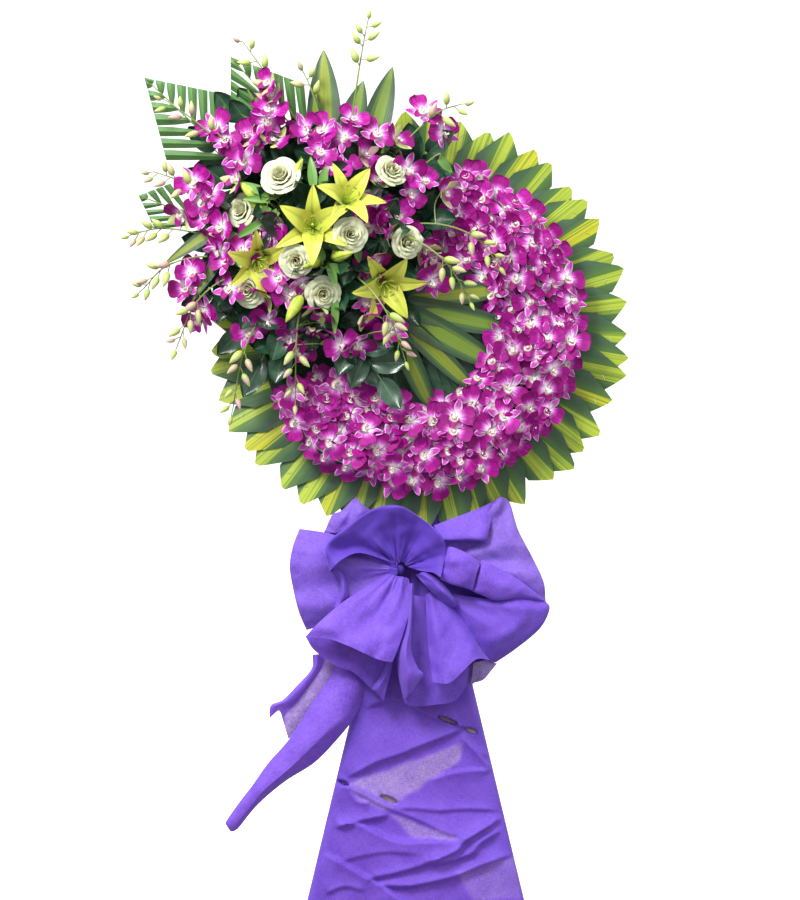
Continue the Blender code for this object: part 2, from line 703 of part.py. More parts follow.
def orchid_stems():
    dice = random.Random(23)
    for number, (u, v, w, sag, florets, buds) in enumerate(ORCHID_STEMS, 1):
        tip = Vector((u, v, w)) / 1000
        spins = [dice.uniform(-0.5, 0.5) for _ in range(florets)]
        first_side = dice.choice((-1, 1))

        def build(trial):
            lift, swing = trial
            end = tip + Vector((0, 0, lift))
            seat, direction = seat_on_block(end + Vector((0, sag, 0.06 + lift)))
            start = seat + direction * 0.010
            bend = (start + end) / 2 + Vector((0, sag, 0.02 + lift)) + direction * 0.05
            knots = [bezier(start, bend, end, t / 3) for t in range(4)]
            pieces = [stem(rooted(seat, direction)[:1] + knots, STEM_RADIUS)]
            run = (end - seat).normalized()
            across = run.cross(Vector((0, 0, 1))).normalized()
            for i in range(florets):
                on_stem = on_line(knots, 0.30 + 0.44 * (i + 0.5) / florets)
                side = across * first_side * (0.85 if i % 2 else -0.85)
                facing = Vector((0, 0, 1)) + side + run * 0.35
                facing = Matrix.Rotation(swing, 3, run) @ facing
                at = on_stem + facing.normalized() * 0.026
                pieces += floret(at, facing, spins[i], 0.030, on_stem, 0.0012)
            for i in range(buds):
                on_stem = on_line(knots, 0.80 + 0.20 * i / (buds - 1))
                way = (end - bend).normalized() + across * (0.8 if i % 2 else -0.8) * (i < buds - 1)
                way = (way + Vector((0, 0, 0.3))).normalized()
                foot = on_stem - way * 0.0015
                reach, length, width = 0.030 - 0.003 * i, 0.020 - 0.002 * i, 0.0060 - 0.0007 * i
                pieces.append(bud(foot, foot + way * reach, length, width))
            return pieces, seat, direction

        trials = [(lift, swing) for lift in LIFTS for swing in (0, 0.5, -0.5)]
        planted(f"orchid_stem_{number:02d}", ORCHID, build, trials)


# Palm: trimmed fans of a few pleated segments. Where the stalk ends, where the middle tip is, and the spread

PALMS = ((-300, 300, 78, -508, 440, 62, 0.62), (-262, 360, 84, -285, 512, 66, 0.55),
         (-330, 212, 80, -526, 236, 60, 0.34))


def palm_fan(base, tip, spread, pleats):
    """A pleated fan: a grid opened about its base, every other fold forward, its far edge cut into points."""
    run = Vector(tip) - Vector(base)
    length = run.length
    shape = bmesh.new()
    bmesh.ops.create_grid(shape, x_segments=2 * pleats, y_segments=2, size=1)
    for vertex in shape.verts:
        column = round((vertex.co.x + 1) * pleats)
        row = round(vertex.co.y + 1)
        angle = spread * (column / pleats - 1)
        reach = length * (0.16, 0.72, 1.0 if column % 2 else 0.80)[row]
        reach *= 1 - 0.22 * (row > 0) * abs(column / pleats - 1)
        fold = 0.0035 * (1 if column % 2 else -1) * (0.6, 1.0, 0.7)[row]
        vertex.co = (math.sin(angle) * reach, math.cos(angle) * reach, fold)
    return scrap(thickened(shape, 0.0010), along(base, run, (0, 0, 1)))


def palms():
    for number, (u, v, w, tip_u, tip_v, tip_w, spread) in enumerate(PALMS, 1):

        def build(lift):
            base = Vector((u, v, w)) / 1000 + Vector((0, 0, lift))
            tip = Vector((tip_u, tip_v, tip_w)) / 1000 + Vector((0, 0, lift))
            seat, direction = seat_on_block(base)
            run = (tip - base).normalized()
            pieces = [palm_fan(base, tip, spread, 4)]
            knots = rooted(seat, direction) + [base, base + run * (tip - base).length * 0.24]
            pieces.append(stem(knots, STEM_RADIUS))
            return pieces, seat, direction

        planted(f"palm_fan_{number}", PALM, build, LIFTS)


# Striped strap leaves in groups: where the group's leaves part, then each leaf's tip and half-width

STRAPS = (
    ("top", (-128, 318, 92), ((-169, 516, 84, 26), (-99, 482, 96, 19), (-48, 482, 88, 20),
                              (-190, 450, 108, 15))),
    ("side", (-300, 236, 92), ((-474, 110, 118, 17), (-420, 40, 124, 16))),
    ("middle", (-72, 48, 84), ((142, 78, 90, 22), (154, 26, 80, 23), (156, -24, 92, 22), (132, -74, 84, 22),
                               (88, -118, 78, 22), (30, -146, 84, 22), (-26, -140, 76, 20))),
)


def strap_leaf(length, half, placed):
    """A long leaf that arches and comes to a point, its edges a little raised."""
    rim = [(x * half, y * length, 0.15 * length * y * (0.9 - y))
           for x, y in ((0, 0), (0.9, 0.3), (1, 0.55), (0.62, 0.84), (0, 1), (-0.62, 0.84), (-1, 0.55),
                        (-0.9, 0.3))]
    return lens(rim, (0, 0.5 * length, 0.027 * length), 0.0014, placed)


def straps():
    for place, parting, leaves in STRAPS:
        parting = Vector(parting) / 1000

        def build(lift):
            base = parting + Vector((0, 0, lift))
            seat, direction = seat_on_block(base)
            tips = [Vector(tip) / 1000 + Vector((0, 0, lift)) for *tip, half in leaves]
            middle = (sum(tips, Vector()) / len(tips) - base).normalized()
            pieces = [stem(rooted(seat, direction) + [base, base + middle * 0.030], 0.0029)]
            for i, (tip, (*_, half)) in enumerate(zip(tips, leaves)):
                root = base + middle * 0.010 + Vector((0, 0, 0.0012 * (i - 1)))
                root -= (tip - root).normalized() * 0.014
                run = tip - root
                pieces.append(strap_leaf(run.length, half / 1000, along(root, run, (0, 0, 1))))
            return pieces, seat, direction

        planted(f"striped_leaves_{place}", STRIPED_LEAF, build, [0.006 * i for i in range(16)])


# Leafy sprigs: where the twig ends in the easel's plane, how far out, and how many leaves

SPRIGS = ((22, 322, 100, 7), (-380, 330, 70, 6), (-246, -40, 84, 7), (-66, -104, 96, 6))


def sprigs():
    for number, (u, v, w, leaves) in enumerate(SPRIGS, 1):

        def build(lift):
            end = Vector((u, v, w)) / 1000 + Vector((0, 0, lift))
            seat, direction = seat_on_block(end)
            start = seat + direction * 0.010
            knots = [start, start.lerp(end, 0.5) + Vector((0, 0, 0.008)), end]
            pieces = [stem([seat - direction * ROOT_DEPTH] + knots, 0.0022)]
            run = (end - start).normalized()
            across = run.cross(Vector((0, 0, 1))).normalized()
            for i in range(leaves):
                side = 0 if i == leaves - 1 else (1 if i % 2 else -1)
                on_twig = on_line(knots, 0.30 + 0.70 * i / (leaves - 1)) - run * 0.001
                way = run * (0.6 + 0.4 * (side == 0)) + across * side * 0.9 + Vector((0, 0, 0.25))
                rim = [(x * 0.022, y * 0.074, 0.006 * (abs(x) > 0.5))
                       for x, y in ((0, 0), (1, 0.42), (0.7, 0.72), (0, 1), (-0.7, 0.72), (-1, 0.42))]
                placed = along(on_twig, way, (0, 0, 1))
                pieces.append(lens(rim, (0, 0.037, 0), 0.0014, placed))
            return pieces, seat, direction

        planted(f"leafy_sprig_{number}", DARK_LEAF, build, LIFTS)


# Lily buds: where the stem forks, and each bud's tip

LILY_BUDS = (((-268, 205, 128), ((-318, 268, 150), (-292, 282, 148), (-214, 306, 168))),
             ((-172, 120, 130), ((-196, 60, 196), (-112, 138, 196), (-226, 34, 150))))


def lily_buds():
    for number, (fork, tips) in enumerate(LILY_BUDS, 1):
        fork = Vector(fork) / 1000

        def build(lift):
            base = fork + Vector((0, 0, lift))
            seat, direction = seat_on_block(base)
            pieces = [stem(rooted(seat, direction) + [base], 0.0026)]
            for tip in tips:
                tip = Vector(tip) / 1000 + Vector((0, 0, lift))
                run = (tip - base).normalized()
                pieces.append(bud(base - run * 0.0015, tip, 0.048, 0.0085))
            return pieces, seat, direction

        planted(f"lily_buds_{number}", LILY, build, [0.006 * i for i in range(16)])


def foam_block():
    block = bmesh.new()
    bmesh.ops.create_cube(block, size=1)
    size = Matrix.Diagonal((*BLOCK_SIZE, BLOCK_FRONT - BLOCK_BACK, 1))
    block = scrap(block, block_turn @ Matrix.Translation((0, 0, (BLOCK_FRONT + BLOCK_BACK) / 2)) @ size)
    joined("foam_block", [block], FOAM, cutters)


# The cloth: the wrap round the legs, the bow and its tails

def wrap():
    """Cloth laid across the front of the legs and folded round both sides, gathered tighter at the top."""
    across = 14
    down = 7
    shape = bmesh.new()
    bmesh.ops.create_grid(shape, x_segments=across, y_segments=down, size=1)
    for vertex in shape.verts:
        column = round((vertex.co.x + 1) / 2 * across)
        row = round((1 - vertex.co.y) / 2 * down)
        height = WRAP_TOP + (WRAP_FOOT - WRAP_TOP) * row / down
        half = leg_reach(height) * math.hypot(1, LEG_SLOPE) + LEG_RADIUS + 0.004
        half = max(half, 0.075)
        back = LEG_MIDDLE - LEG_RADIUS - 0.004
        if column in (0, across):
            place = (half - 0.022, back)
        elif column in (1, across - 1):
            place = (half, back)
        elif column in (2, across - 2):
            place = (half, WRAP_FRONT - WRAP_ROUND)
        else:
            share = abs(column - across / 2) / (across / 2 - 3)
            fold = 0.005 * (1 + math.sin(2.1 * column + 1.1 * row)) * (height < -0.75)
            place = ((half - WRAP_ROUND * 0.5) * share, WRAP_FRONT + fold * (share < 1))
        side = -1 if column < across / 2 else 1
        vertex.co = (side * place[0], height, place[1])
    joined("cloth_wrap", [scrap(thickened(shape, WRAP_THICK))], CLOTH)


def bow_reach(angle):
    """How far the bow's edge lies from its knot at an angle."""
    place = (angle % (2 * math.pi)) / (2 * math.pi) * len(BOW_REACH)
    first = int(place)
    share = (1 - math.cos(math.pi * (place - first))) / 2
    return BOW_REACH[first] * (1 - share) + BOW_REACH[(first + 1) % len(BOW_REACH)] * share


def bow():
    """Gathered cloth that fans out from a knot in deep uneven flutes, closed by a plainer back."""
    around = 6 * BOW_FLUTES
    rings = 3
    shape = bmesh.new()
    bmesh.ops.create_grid(shape, x_segments=around, y_segments=2 * rings + 1, size=1)
    for vertex in shape.verts:
        step = round((vertex.co.x + 1) / 2 * around) % around
        row = round((vertex.co.y + 1) / 2 * (2 * rings + 1))
        front = row <= rings
        share = (row if front else 2 * rings + 1 - row) / rings
        angle = 2 * math.pi * step / around
        flute = math.cos(BOW_FLUTES * angle + 1.2 * math.sin(2 * angle))
        reach = bow_reach(angle) * share * (1 + 0.05 * flute * share)
        rise = 0.012 + BOW_DEPTH * math.sin(math.pi * (0.14 + 0.66 * share)) + BOW_RUFFLE * flute * share ** 2
        behind = BOW_BACK + (rise - BOW_BACK - BOW_EDGE) * share ** 1.5
        at = turned_by(angle) * reach
        vertex.co = (BOW_AT[0] + at.x, BOW_AT[1] + at.y, rise if front else behind)
    bmesh.ops.remove_doubles(shape, verts=shape.verts, dist=1e-5)
    body = scrap(shape)
    knot = bmesh.new()
    bmesh.ops.create_uvsphere(knot, u_segments=8, v_segments=5, radius=0.024)
    knot = scrap(knot, Matrix.Translation((*BOW_AT, 0.052)))
    joined("cloth_bow", [body, knot], CLOTH)


TAILS = (("long", ((-72, -530, -2.1), (-112, -600, 1), (-150, -690, 14), (-214, -786, 24), (-276, -872, 20),
                   (-322, -930, 12)), (16, 30, 44, 40, 26, 3)),
         ("short", ((-78, -548, -3.8), (-130, -620, -3.4), (-205, -690, 4), (-262, -738, 6)), (16, 24, 34, 12)))


def tails():
    """Strips of cloth that hang from under the bow and narrow to a point."""
    # Each is laid out by its back, in millimetres, and thickens towards the viewer
    for name, path, halves in TAILS:
        shape = bmesh.new()
        bmesh.ops.create_grid(shape, x_segments=2, y_segments=len(path) - 1, size=1)
        run = (Vector(path[-1]) - Vector(path[0])).normalized()
        across = run.cross(Vector((0, 0, 1))).normalized()
        for vertex in shape.verts:
            row = round((vertex.co.y + 1) / 2 * (len(path) - 1))
            side = round(vertex.co.x)
            crease = 7 * abs(side) * (row > 1)
            middle = Vector(path[row]) + across * halves[row] * side + Vector((0, 0, crease))
            vertex.co = middle / 1000
        joined(f"cloth_tail_{name}", [scrap(thickened(shape, -0.0013))], CLOTH)


build_easel()
board_and_foam()
leaf_edging()
orchid_bed()
for sector in range(BED_SECTORS):
    spray_taken.append(taken_by(f"orchid_ring_{sector + 1}"))
lilies()
roses()
straps()
palms()
orchid_stems()
sprigs()
lily_buds()
foam_block()
wrap()
bow()
tails()


def centre_on_floor():
    """Sets the whole wreath's bounding box over the origin, with its feet on the floor."""
    bpy.context.view_layer.update()
    corners = [piece.matrix_world @ vertex.co for piece in parts.objects if piece.type == "MESH"
               for vertex in piece.data.vertices]
    for axis in (0, 1):
        reaches = [corner[axis] for corner in corners]
        easel.location[axis] -= (min(reaches) + max(reaches)) / 2
    easel.location.z -= min(corner.z for corner in corners)


centre_on_floor()
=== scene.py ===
import math
import random
from functools import lru_cache

import bpy
import numpy as np
from mathutils import Matrix, Vector


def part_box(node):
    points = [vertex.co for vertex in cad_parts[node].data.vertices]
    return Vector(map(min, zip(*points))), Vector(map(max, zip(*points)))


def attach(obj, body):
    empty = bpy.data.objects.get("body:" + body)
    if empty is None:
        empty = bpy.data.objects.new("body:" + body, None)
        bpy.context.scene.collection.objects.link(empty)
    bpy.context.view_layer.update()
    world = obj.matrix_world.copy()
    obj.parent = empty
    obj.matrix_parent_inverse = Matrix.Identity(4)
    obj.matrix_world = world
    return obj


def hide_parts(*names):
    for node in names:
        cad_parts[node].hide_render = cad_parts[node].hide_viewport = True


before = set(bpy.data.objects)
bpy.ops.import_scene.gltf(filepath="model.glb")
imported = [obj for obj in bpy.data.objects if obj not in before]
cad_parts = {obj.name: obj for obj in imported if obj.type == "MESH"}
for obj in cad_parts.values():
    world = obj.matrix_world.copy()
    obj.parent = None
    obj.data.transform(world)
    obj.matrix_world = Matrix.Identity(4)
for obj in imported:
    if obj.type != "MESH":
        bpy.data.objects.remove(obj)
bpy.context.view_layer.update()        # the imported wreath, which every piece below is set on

# The wreath is set out in the plane of its easel, which leans back from the viewer. Here x runs to the
# viewer's right, y up along the easel and z out towards the viewer, from the middle of the ring, and the
# backing board gives that middle.
LEAN = math.radians(8)
BOARD_THICK = 0.006
facing_out = Vector((0, -math.cos(LEAN), math.sin(LEAN)))
board_low, board_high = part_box("backing_board")
ring_middle = (Vector(board_low) + Vector(board_high)) / 2 + facing_out * BOARD_THICK / 2
EASEL = Matrix.Translation(ring_middle) @ Matrix((
    (1, 0, 0, 0),
    (0, math.sin(LEAN), -math.cos(LEAN), 0),
    (0, math.cos(LEAN), math.sin(LEAN), 0),
    (0, 0, 0, 1),
))


# The studio: a seamless white floor under soft overcast light, with a broad lamp at the upper left and weaker
# ones at the right and behind. The camera looks square on to the leaning easel from nine metres.
CAMERA_AWAY = 9.0
VIEW_TALL = 1.71
VIEW_MIDDLE = (-0.030, -0.237)
SENSOR = 36.0
LAMPS_AIM = Vector((0, 0, 1.1))

# For each lamp, where it stands and how wide it is in metres, and its power in watts
LAMPS = (
    ("soft_box_left", (-1.6, -2.2, 3.9), 1.3, 185),
    ("soft_box_right", (2.8, -2.0, 1.6), 2.0, 18),
    ("soft_box_behind", (0.6, 3.0, 3.4), 2.0, 60),
)

scene = bpy.context.scene
camera = bpy.data.objects.new("camera", bpy.data.cameras.new("camera"))
scene.collection.objects.link(camera)
camera.data.sensor_width = camera.data.sensor_height = SENSOR
camera.data.lens = SENSOR * CAMERA_AWAY / VIEW_TALL
camera.location = EASEL @ Vector((*VIEW_MIDDLE, CAMERA_AWAY))
camera.rotation_euler = (math.radians(90) - LEAN, 0, 0)
scene.camera = camera
scene.view_settings.view_transform = "Standard"

overcast = bpy.data.worlds.new("overcast")
overcast.use_nodes = True
scene.world = overcast

for name, at, size, power in LAMPS:
    light = bpy.data.lights.new(name, "AREA")
    light.size = size
    light.energy = power
    soft_box = bpy.data.objects.new(name, light)
    soft_box.location = at
    soft_box.rotation_euler = (LAMPS_AIM - Vector(at)).to_track_quat("-Z", "Y").to_euler()
    scene.collection.objects.link(soft_box)


# The studio floor is one wide sheet of matt white paper, laid flat under the easel's feet. The light over it
# is brightest overhead.
FLOOR_HALF = 45.0


class Value:
    """A value in a node tree, which sums are written with as with a number."""

    def __init__(self, finish, socket):
        self.finish, self.socket = finish, socket

    def __add__(self, other):
        return self.finish.maths("ADD", self, other)

    def __sub__(self, other):
        return self.finish.maths("SUBTRACT", self, other)

    def __mul__(self, other):
        return self.finish.maths("MULTIPLY", self, other)

    def __abs__(self):
        return self.finish.maths("ABSOLUTE", self)


class Finish:
    """A node tree under construction, for a material or for a group of marks."""

    def __init__(self, tree):
        self.tree = tree

    def feed(self, socket, value):
        """Links a value to a socket, or sets the socket to a constant."""
        if isinstance(value, Value):
            self.tree.links.new(value.socket, socket)
        else:
            socket.default_value = value

    def add(self, kind, sockets=(), out=0, **settings):
        """Adds a node, feeds its sockets, and gives the value that it puts out."""
        node = self.tree.nodes.new("ShaderNode" + kind)
        for name, value in settings.items():
            setattr(node, name, value)
        for name, value in dict(sockets).items():
            self.feed(node.inputs[name], value)
        return Value(self, node.outputs[out])

    def maths(self, operation, *values, clamp=False):
        return self.add("Math", enumerate(values), operation=operation, use_clamp=clamp)

    def blend(self, share, below, above, strength=1.0):
        """Below where the share is 0, and where it is 1 above, or as far towards it as the strength says."""
        if strength < 1:
            share = share * strength
        below, above = ((*colour, 1) if isinstance(colour, tuple) else colour for colour in (below, above))
        return self.add("Mix", {0: share, 6: below, 7: above}, 2, data_type="RGBA")

    def step(self, value, low, high):
        """0 below low, 1 above high, smooth between; the other way round if low is above high."""
        ends = {"Value": value, "From Min": low, "From Max": high}
        return self.add("MapRange", ends, interpolation_type="SMOOTHSTEP")

    def patches(self, size, tone=0.0):
        return self.add("Group", {"Size": size, "Tone": tone}, node_tree=PATCH_MARKS.tree)


class Marks(Finish):
    """A node group of marks that several finishes share, with the usual values of what it reads."""

    def __init__(self, name, reads, puts_out):
        super().__init__(bpy.data.node_groups.new(name, "ShaderNodeTree"))
        new_socket = self.tree.interface.new_socket
        for socket, value in reads.items():
            new_socket(socket, in_out="INPUT", socket_type="NodeSocketFloat").default_value = value
        for socket in puts_out:
            new_socket(socket, in_out="OUTPUT", socket_type="NodeSocketFloat")
        reader = self.tree.nodes.new("NodeGroupInput")
        self.read = {socket.name: Value(self, socket) for socket in reader.outputs}
        self.out = self.tree.nodes.new("NodeGroupOutput").inputs


# Soft patches over a piece, a size in metres apart, from 0 to 1
PATCH_MARKS = Marks("soft_patches", {"Size": 0.02, "Tone": 0}, ("Mask",))
where = PATCH_MARKS.add("TexCoord", out="Object")
scale = PATCH_MARKS.maths("DIVIDE", 1.0, PATCH_MARKS.read["Size"])
sockets = {"Vector": where, "Scale": scale, "Detail": 3.0, "W": PATCH_MARKS.read["Tone"]}
noise = PATCH_MARKS.add("TexNoise", sockets, "Fac", noise_dimensions="4D")
PATCH_MARKS.feed(PATCH_MARKS.out["Mask"], PATCH_MARKS.step(noise, 0.3, 0.7))


class Skin(Finish):
    """A Principled material and its finish. What is the same all over is set on the shader's own sockets."""

    def __init__(self, name, rough, **constants):
        self.made = bpy.data.materials.new(name)
        self.made.use_nodes = True
        super().__init__(self.made.node_tree)
        self.shader = self.tree.nodes["Principled BSDF"]
        for socket, value in {"Roughness": rough, **constants}.items():
            self.shader.inputs[socket.replace("_", " ")].default_value = value

    def colour(self, value):
        self.feed(self.shader.inputs["Base Color"], value)

    def relief(self, height, depth, strength=0.6):
        bump = self.add("Bump", {"Height": height, "Distance": depth, "Strength": strength})
        self.feed(self.shader.inputs["Normal"], bump)


sky = Finish(overcast.node_tree)
up = sky.add("SeparateXYZ", {"Vector": sky.add("TexCoord", out="Generated")}, "Z")
dome_light = sky.blend(sky.step(up, -0.2, 0.9), (0.20, 0.20, 0.20), (1.62, 1.62, 1.62))
lit = sky.blend(sky.add("LightPath", out="Is Camera Ray"), dome_light, (1.0, 1.0, 1.0))
sky.feed(overcast.node_tree.nodes["Background"].inputs["Color"], lit)

PAPER = Skin("white_paper", 0.9, Specular_IOR_Level=0.0)
white = PAPER.blend(PAPER.patches(0.8), (0.98, 0.98, 0.98), (1.0, 1.0, 1.0))
PAPER.colour(PAPER.blend(PAPER.add("LightPath", out="Is Camera Ray"), (0.22, 0.22, 0.22), white))

mesh = bpy.data.meshes.new("floor")
corners = [(x * FLOOR_HALF, y * FLOOR_HALF, 0) for x, y in ((-1, -1), (1, -1), (1, 1), (-1, 1))]
mesh.from_pydata(corners, [], [(0, 1, 2, 3)])
mesh.materials.append(PAPER.made)
floor = bpy.data.objects.new("floor", mesh)
scene.collection.objects.link(floor)


# The easel is bamboo: a flat post behind the ring, two front poles that splay from it, a rear pole, and thin
# split laths and a crosspiece tied across. The poles have the culm's swollen joints every hand's breadth.
POLE_RADIUS = 0.011
POLE_JOINT = 0.23
# The swelling at a joint: places along the pole from its middle, and the radius there as a share
JOINT_SWELL = ((-0.012, 0.98), (-0.005, 1.07), (-0.0015, 0.99), (0.0015, 1.10), (0.008, 0.98))
LEG_SLOPE = 0.233
LEG_APEX = -0.294
LEG_TOP = -0.437
LEG_MIDDLE = -0.0223
FOOT_LIFT = 0.004
FLOOR_UP = -ring_middle.z / math.cos(LEAN)
REAR_TOP = (0, -0.318, -0.0330)
REAR_FOOT_IN = 0.0125
# How square a split strip's section is, from 1 for an oval
PLANK_SQUARE = 1.35
# The two laths: how high each stands at its left and its right end, and its tone
LATHS = ((-0.690, -0.775, 7.0), (-0.862, -1.000, 9.0))
# A lath's width, its back and its front, and how rough its ends are
LATH_SPLIT = (0.015, -0.0110, -0.0064, 0.004)
# The crosspiece and the post: their two ends, and the same
CROSS_STRIP = ((-0.050, -0.490, 0), (0.050, -0.490, 0), 0.016, -0.0416, -0.0336, 0.001)
FLAT_POST = ((0, -0.520, 0), (0, -0.142, 0), 0.045, -0.0203, -0.0063, 0.0)


class Gathered:
    """Loose bodies gathered into one piece: their points in the easel's plane, faces, finishes and places."""

    def __init__(self):
        self.points, self.faces, self.places, self.finishes, self.count = [], [], [], [], 0

    def add(self, shape, placed=None, tone=0.0, finish=0):
        """Adds a shape, which is its points, faces and places, at a placement."""
        points, faces, places = shape
        if placed is not None:
            placed = np.array(placed)
            points = points @ placed[:3, :3].T + placed[:3, 3]
        places = places.copy()
        places[:, 2] += tone
        self.points.append(points)
        self.places.append(places)
        for polygons in faces:
            self.faces.append(polygons + self.count)
            self.finishes.append(np.full(len(polygons), finish))
        self.count += len(points)
        return self

    def piece(self, name, skins, slot, stands_for=(), crease=55):
        """Makes the gathered bodies one piece that rides on the wreath."""
        placed = np.array(EASEL)
        points = np.concatenate(self.points) @ placed[:3, :3].T + placed[:3, 3]
        mesh = bpy.data.meshes.new(name)
        mesh.vertices.add(len(points))
        mesh.vertices.foreach_set("co", points.astype(np.float32).ravel())
        loops = np.concatenate([f.ravel() for f in self.faces])
        sizes = np.concatenate([np.full(len(f), f.shape[1]) for f in self.faces])
        mesh.loops.add(len(loops))
        mesh.loops.foreach_set("vertex_index", loops.astype(np.int32))
        mesh.polygons.add(len(sizes))
        mesh.polygons.foreach_set("loop_start", (np.cumsum(sizes) - sizes).astype(np.int32))
        mesh.polygons.foreach_set("material_index", np.concatenate(self.finishes).astype(np.int32))
        place = mesh.attributes.new("place", "FLOAT_VECTOR", "POINT")
        place.data.foreach_set("vector", np.concatenate(self.places).astype(np.float32).ravel())
        mesh.update(calc_edges=True)
        mesh.shade_smooth()
        mesh.set_sharp_from_angle(angle=math.radians(crease))
        for skin in skins:
            mesh.materials.append(skin.made)
        made = bpy.data.objects.new(name, mesh)
        scene.collection.objects.link(made)
        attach(made, "root")
        if stands_for:
            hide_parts(*stands_for)
        return made


@lru_cache(maxsize=None)
def wrapped_quads(rings, sides):
    """The quads of a tube of rings, and a many-sided face at each of its ends."""
    grid = np.arange(rings * sides).reshape(rings, sides)
    turned = np.roll(grid, -1, axis=1)
    quads = np.stack([grid[:-1], turned[:-1], turned[1:], grid[1:]], -1).reshape(-1, 4)
    return [quads, grid[:1, ::-1], grid[-1:]]


def smooth_run(knots, steps):
    """Points on a smooth curve through the knots."""
    knots = np.array([np.array(knot, float) for knot in knots])
    padded = np.concatenate([[2 * knots[0] - knots[1]], knots, [2 * knots[-1] - knots[-2]]])
    run = []
    for a, b, c, d in zip(padded, padded[1:], padded[2:], padded[3:]):
        for t in np.arange(steps) / steps:
            run.append(0.5 * (2 * b + (c - a) * t + (2 * a - 5 * b + 4 * c - d) * t ** 2
                              + (3 * b - a - 3 * c + d) * t ** 3))
    run.append(knots[-1])
    return np.array(run)


def tube(run, radii, sides=6):
    """A round stem along a run of points, closed at both ends."""
    run = np.array([tuple(point) for point in run], float)
    radii = np.broadcast_to(radii, len(run))
    ways = np.gradient(run, axis=0)
    ways /= np.linalg.norm(ways, axis=1)[:, None]
    side = np.cross(ways[0], (0, 0, 1.0) if abs(ways[0][2]) < 0.9 else (1.0, 0, 0))
    turn = np.linspace(0, 2 * math.pi, sides, endpoint=False)
    points = []
    for at, way, radius in zip(run, ways, radii):
        side = side - way * side.dot(way)
        side /= np.linalg.norm(side)
        up = np.cross(way, side)
        points.append(at + radius * (np.cos(turn)[:, None] * side + np.sin(turn)[:, None] * up))
    length = np.concatenate([[0], np.cumsum(np.linalg.norm(np.diff(run, axis=0), axis=1))])
    places = np.zeros((len(run), sides, 3))
    places[..., 0] = turn / math.pi - 1
    places[..., 1] = length[:, None]
    return np.concatenate(points), wrapped_quads(len(run), sides), places.reshape(-1, 3)


# Where a point lies on its own blade: across from -1 to 1, along from 0 to 1, and the blade's own tone
PLACE_MARKS = Marks("place_on_blade", {}, ("Across", "Along", "Tone"))
place = PLACE_MARKS.add("Attribute", out="Vector", attribute_name="place", attribute_type="GEOMETRY")
parts = PLACE_MARKS.add("SeparateXYZ", {"Vector": place}).socket.node.outputs
for socket, part in zip(("Across", "Along", "Tone"), parts):
    PLACE_MARKS.feed(PLACE_MARKS.out[socket], Value(PLACE_MARKS, part))

# Fine uneven lines that run along a blade, as veins and fibres do
LINE_MARKS = Marks("lines_along", {"Across": 0, "Along": 0, "Tone": 0, "Lines": 12, "Drift": 1}, ("Mask",))
read = LINE_MARKS.read
across, down = read["Across"] * read["Lines"], read["Along"] * read["Drift"]
where = LINE_MARKS.add("CombineXYZ", {"X": across, "Y": down, "Z": read["Tone"] * 37.0})
noise = LINE_MARKS.add("TexNoise", {"Vector": where, "Scale": 1.0, "Detail": 2.0, "Roughness": 0.6}, "Fac")
LINE_MARKS.feed(LINE_MARKS.out["Mask"], noise)


class BladeSkin(Skin):
    """The skin of a leaf, petal, stem or strip, drawn by where a point lies on it."""

    def __init__(self, name, rough, **constants):
        super().__init__(name, rough, **constants)
        place = self.add("Group", node_tree=PLACE_MARKS.tree).socket.node
        self.across, self.along, self.tone = (Value(self, socket) for socket in place.outputs)

    def lines(self, lines, drift, tone=None):
        sockets = {"Across": self.across, "Along": self.along, "Tone": tone or self.tone, "Lines": lines,
                   "Drift": drift}
        return self.add("Group", sockets, node_tree=LINE_MARKS.tree)

    def own_share(self, turn=None):
        """A share that differs from blade to blade."""
        return self.maths("FRACT", self.tone * turn if turn else self.tone)

    def by_middle(self, low, high):
        """A step in how far a point is from the blade's middle line, which draws a rib or a rim."""
        return self.step(abs(self.across), low, high)


BAMBOO = BladeSkin("bamboo", 0.48, Coat_Weight=0.15, Coat_Roughness=0.35)
fibres = BAMBOO.lines(14.0, 5.0)
tan = BAMBOO.blend(fibres, (0.36, 0.24, 0.12), (0.66, 0.50, 0.30))
BAMBOO.colour(BAMBOO.blend(BAMBOO.patches(0.06, BAMBOO.tone), tan, (0.30, 0.22, 0.12), 0.45))
BAMBOO.relief(fibres, 0.0006)


def culm(foot, top):
    """A bamboo pole, swollen at each joint with a ring just below it."""
    foot, top = Vector(foot), Vector(top)
    length = (top - foot).length
    stops = {0.0: 1.0, length: 1.0}
    for i in range(int(length / POLE_JOINT)):
        for shift, swell in JOINT_SWELL:
            stops[(i + 0.6) * POLE_JOINT + shift] = swell
    places = sorted(stops)
    return tube([foot.lerp(top, at / length) for at in places],
                [POLE_RADIUS * 0.93 * stops[at] for at in places], 20)


def plank(a, b, width, back, front, rough_ends):
    """A flat split strip from a to b in the easel's plane, its long edges a little rounded."""
    a, b = Vector(a), Vector(b)
    way = (b - a).normalized()
    side = Vector((-way.y, way.x, 0))
    half, middle, deep = width / 2, (front + back) / 2, (front - back) / 2
    turn = np.linspace(0, 2 * math.pi, 16, endpoint=False)
    outline = [(half * np.clip(math.cos(t) * PLANK_SQUARE, -1, 1),
                deep * np.clip(math.sin(t) * PLANK_SQUARE, -1, 1)) for t in turn]
    shares = np.linspace(0, 1, 9)
    points, places = [], []
    for share in shares:
        for i, (x, z) in enumerate(outline):
            end = rough_ends * math.sin(5.1 * i) * (1 if share == 1 else -1) * (share in (0, 1))
            points.append(a.lerp(b, share) + side * x + way * end + Vector((0, 0, middle + z)))
            places.append((x / half, share * (b - a).length, 0))
    return np.array([tuple(p) for p in points]), wrapped_quads(len(shares), len(outline)), np.array(places)


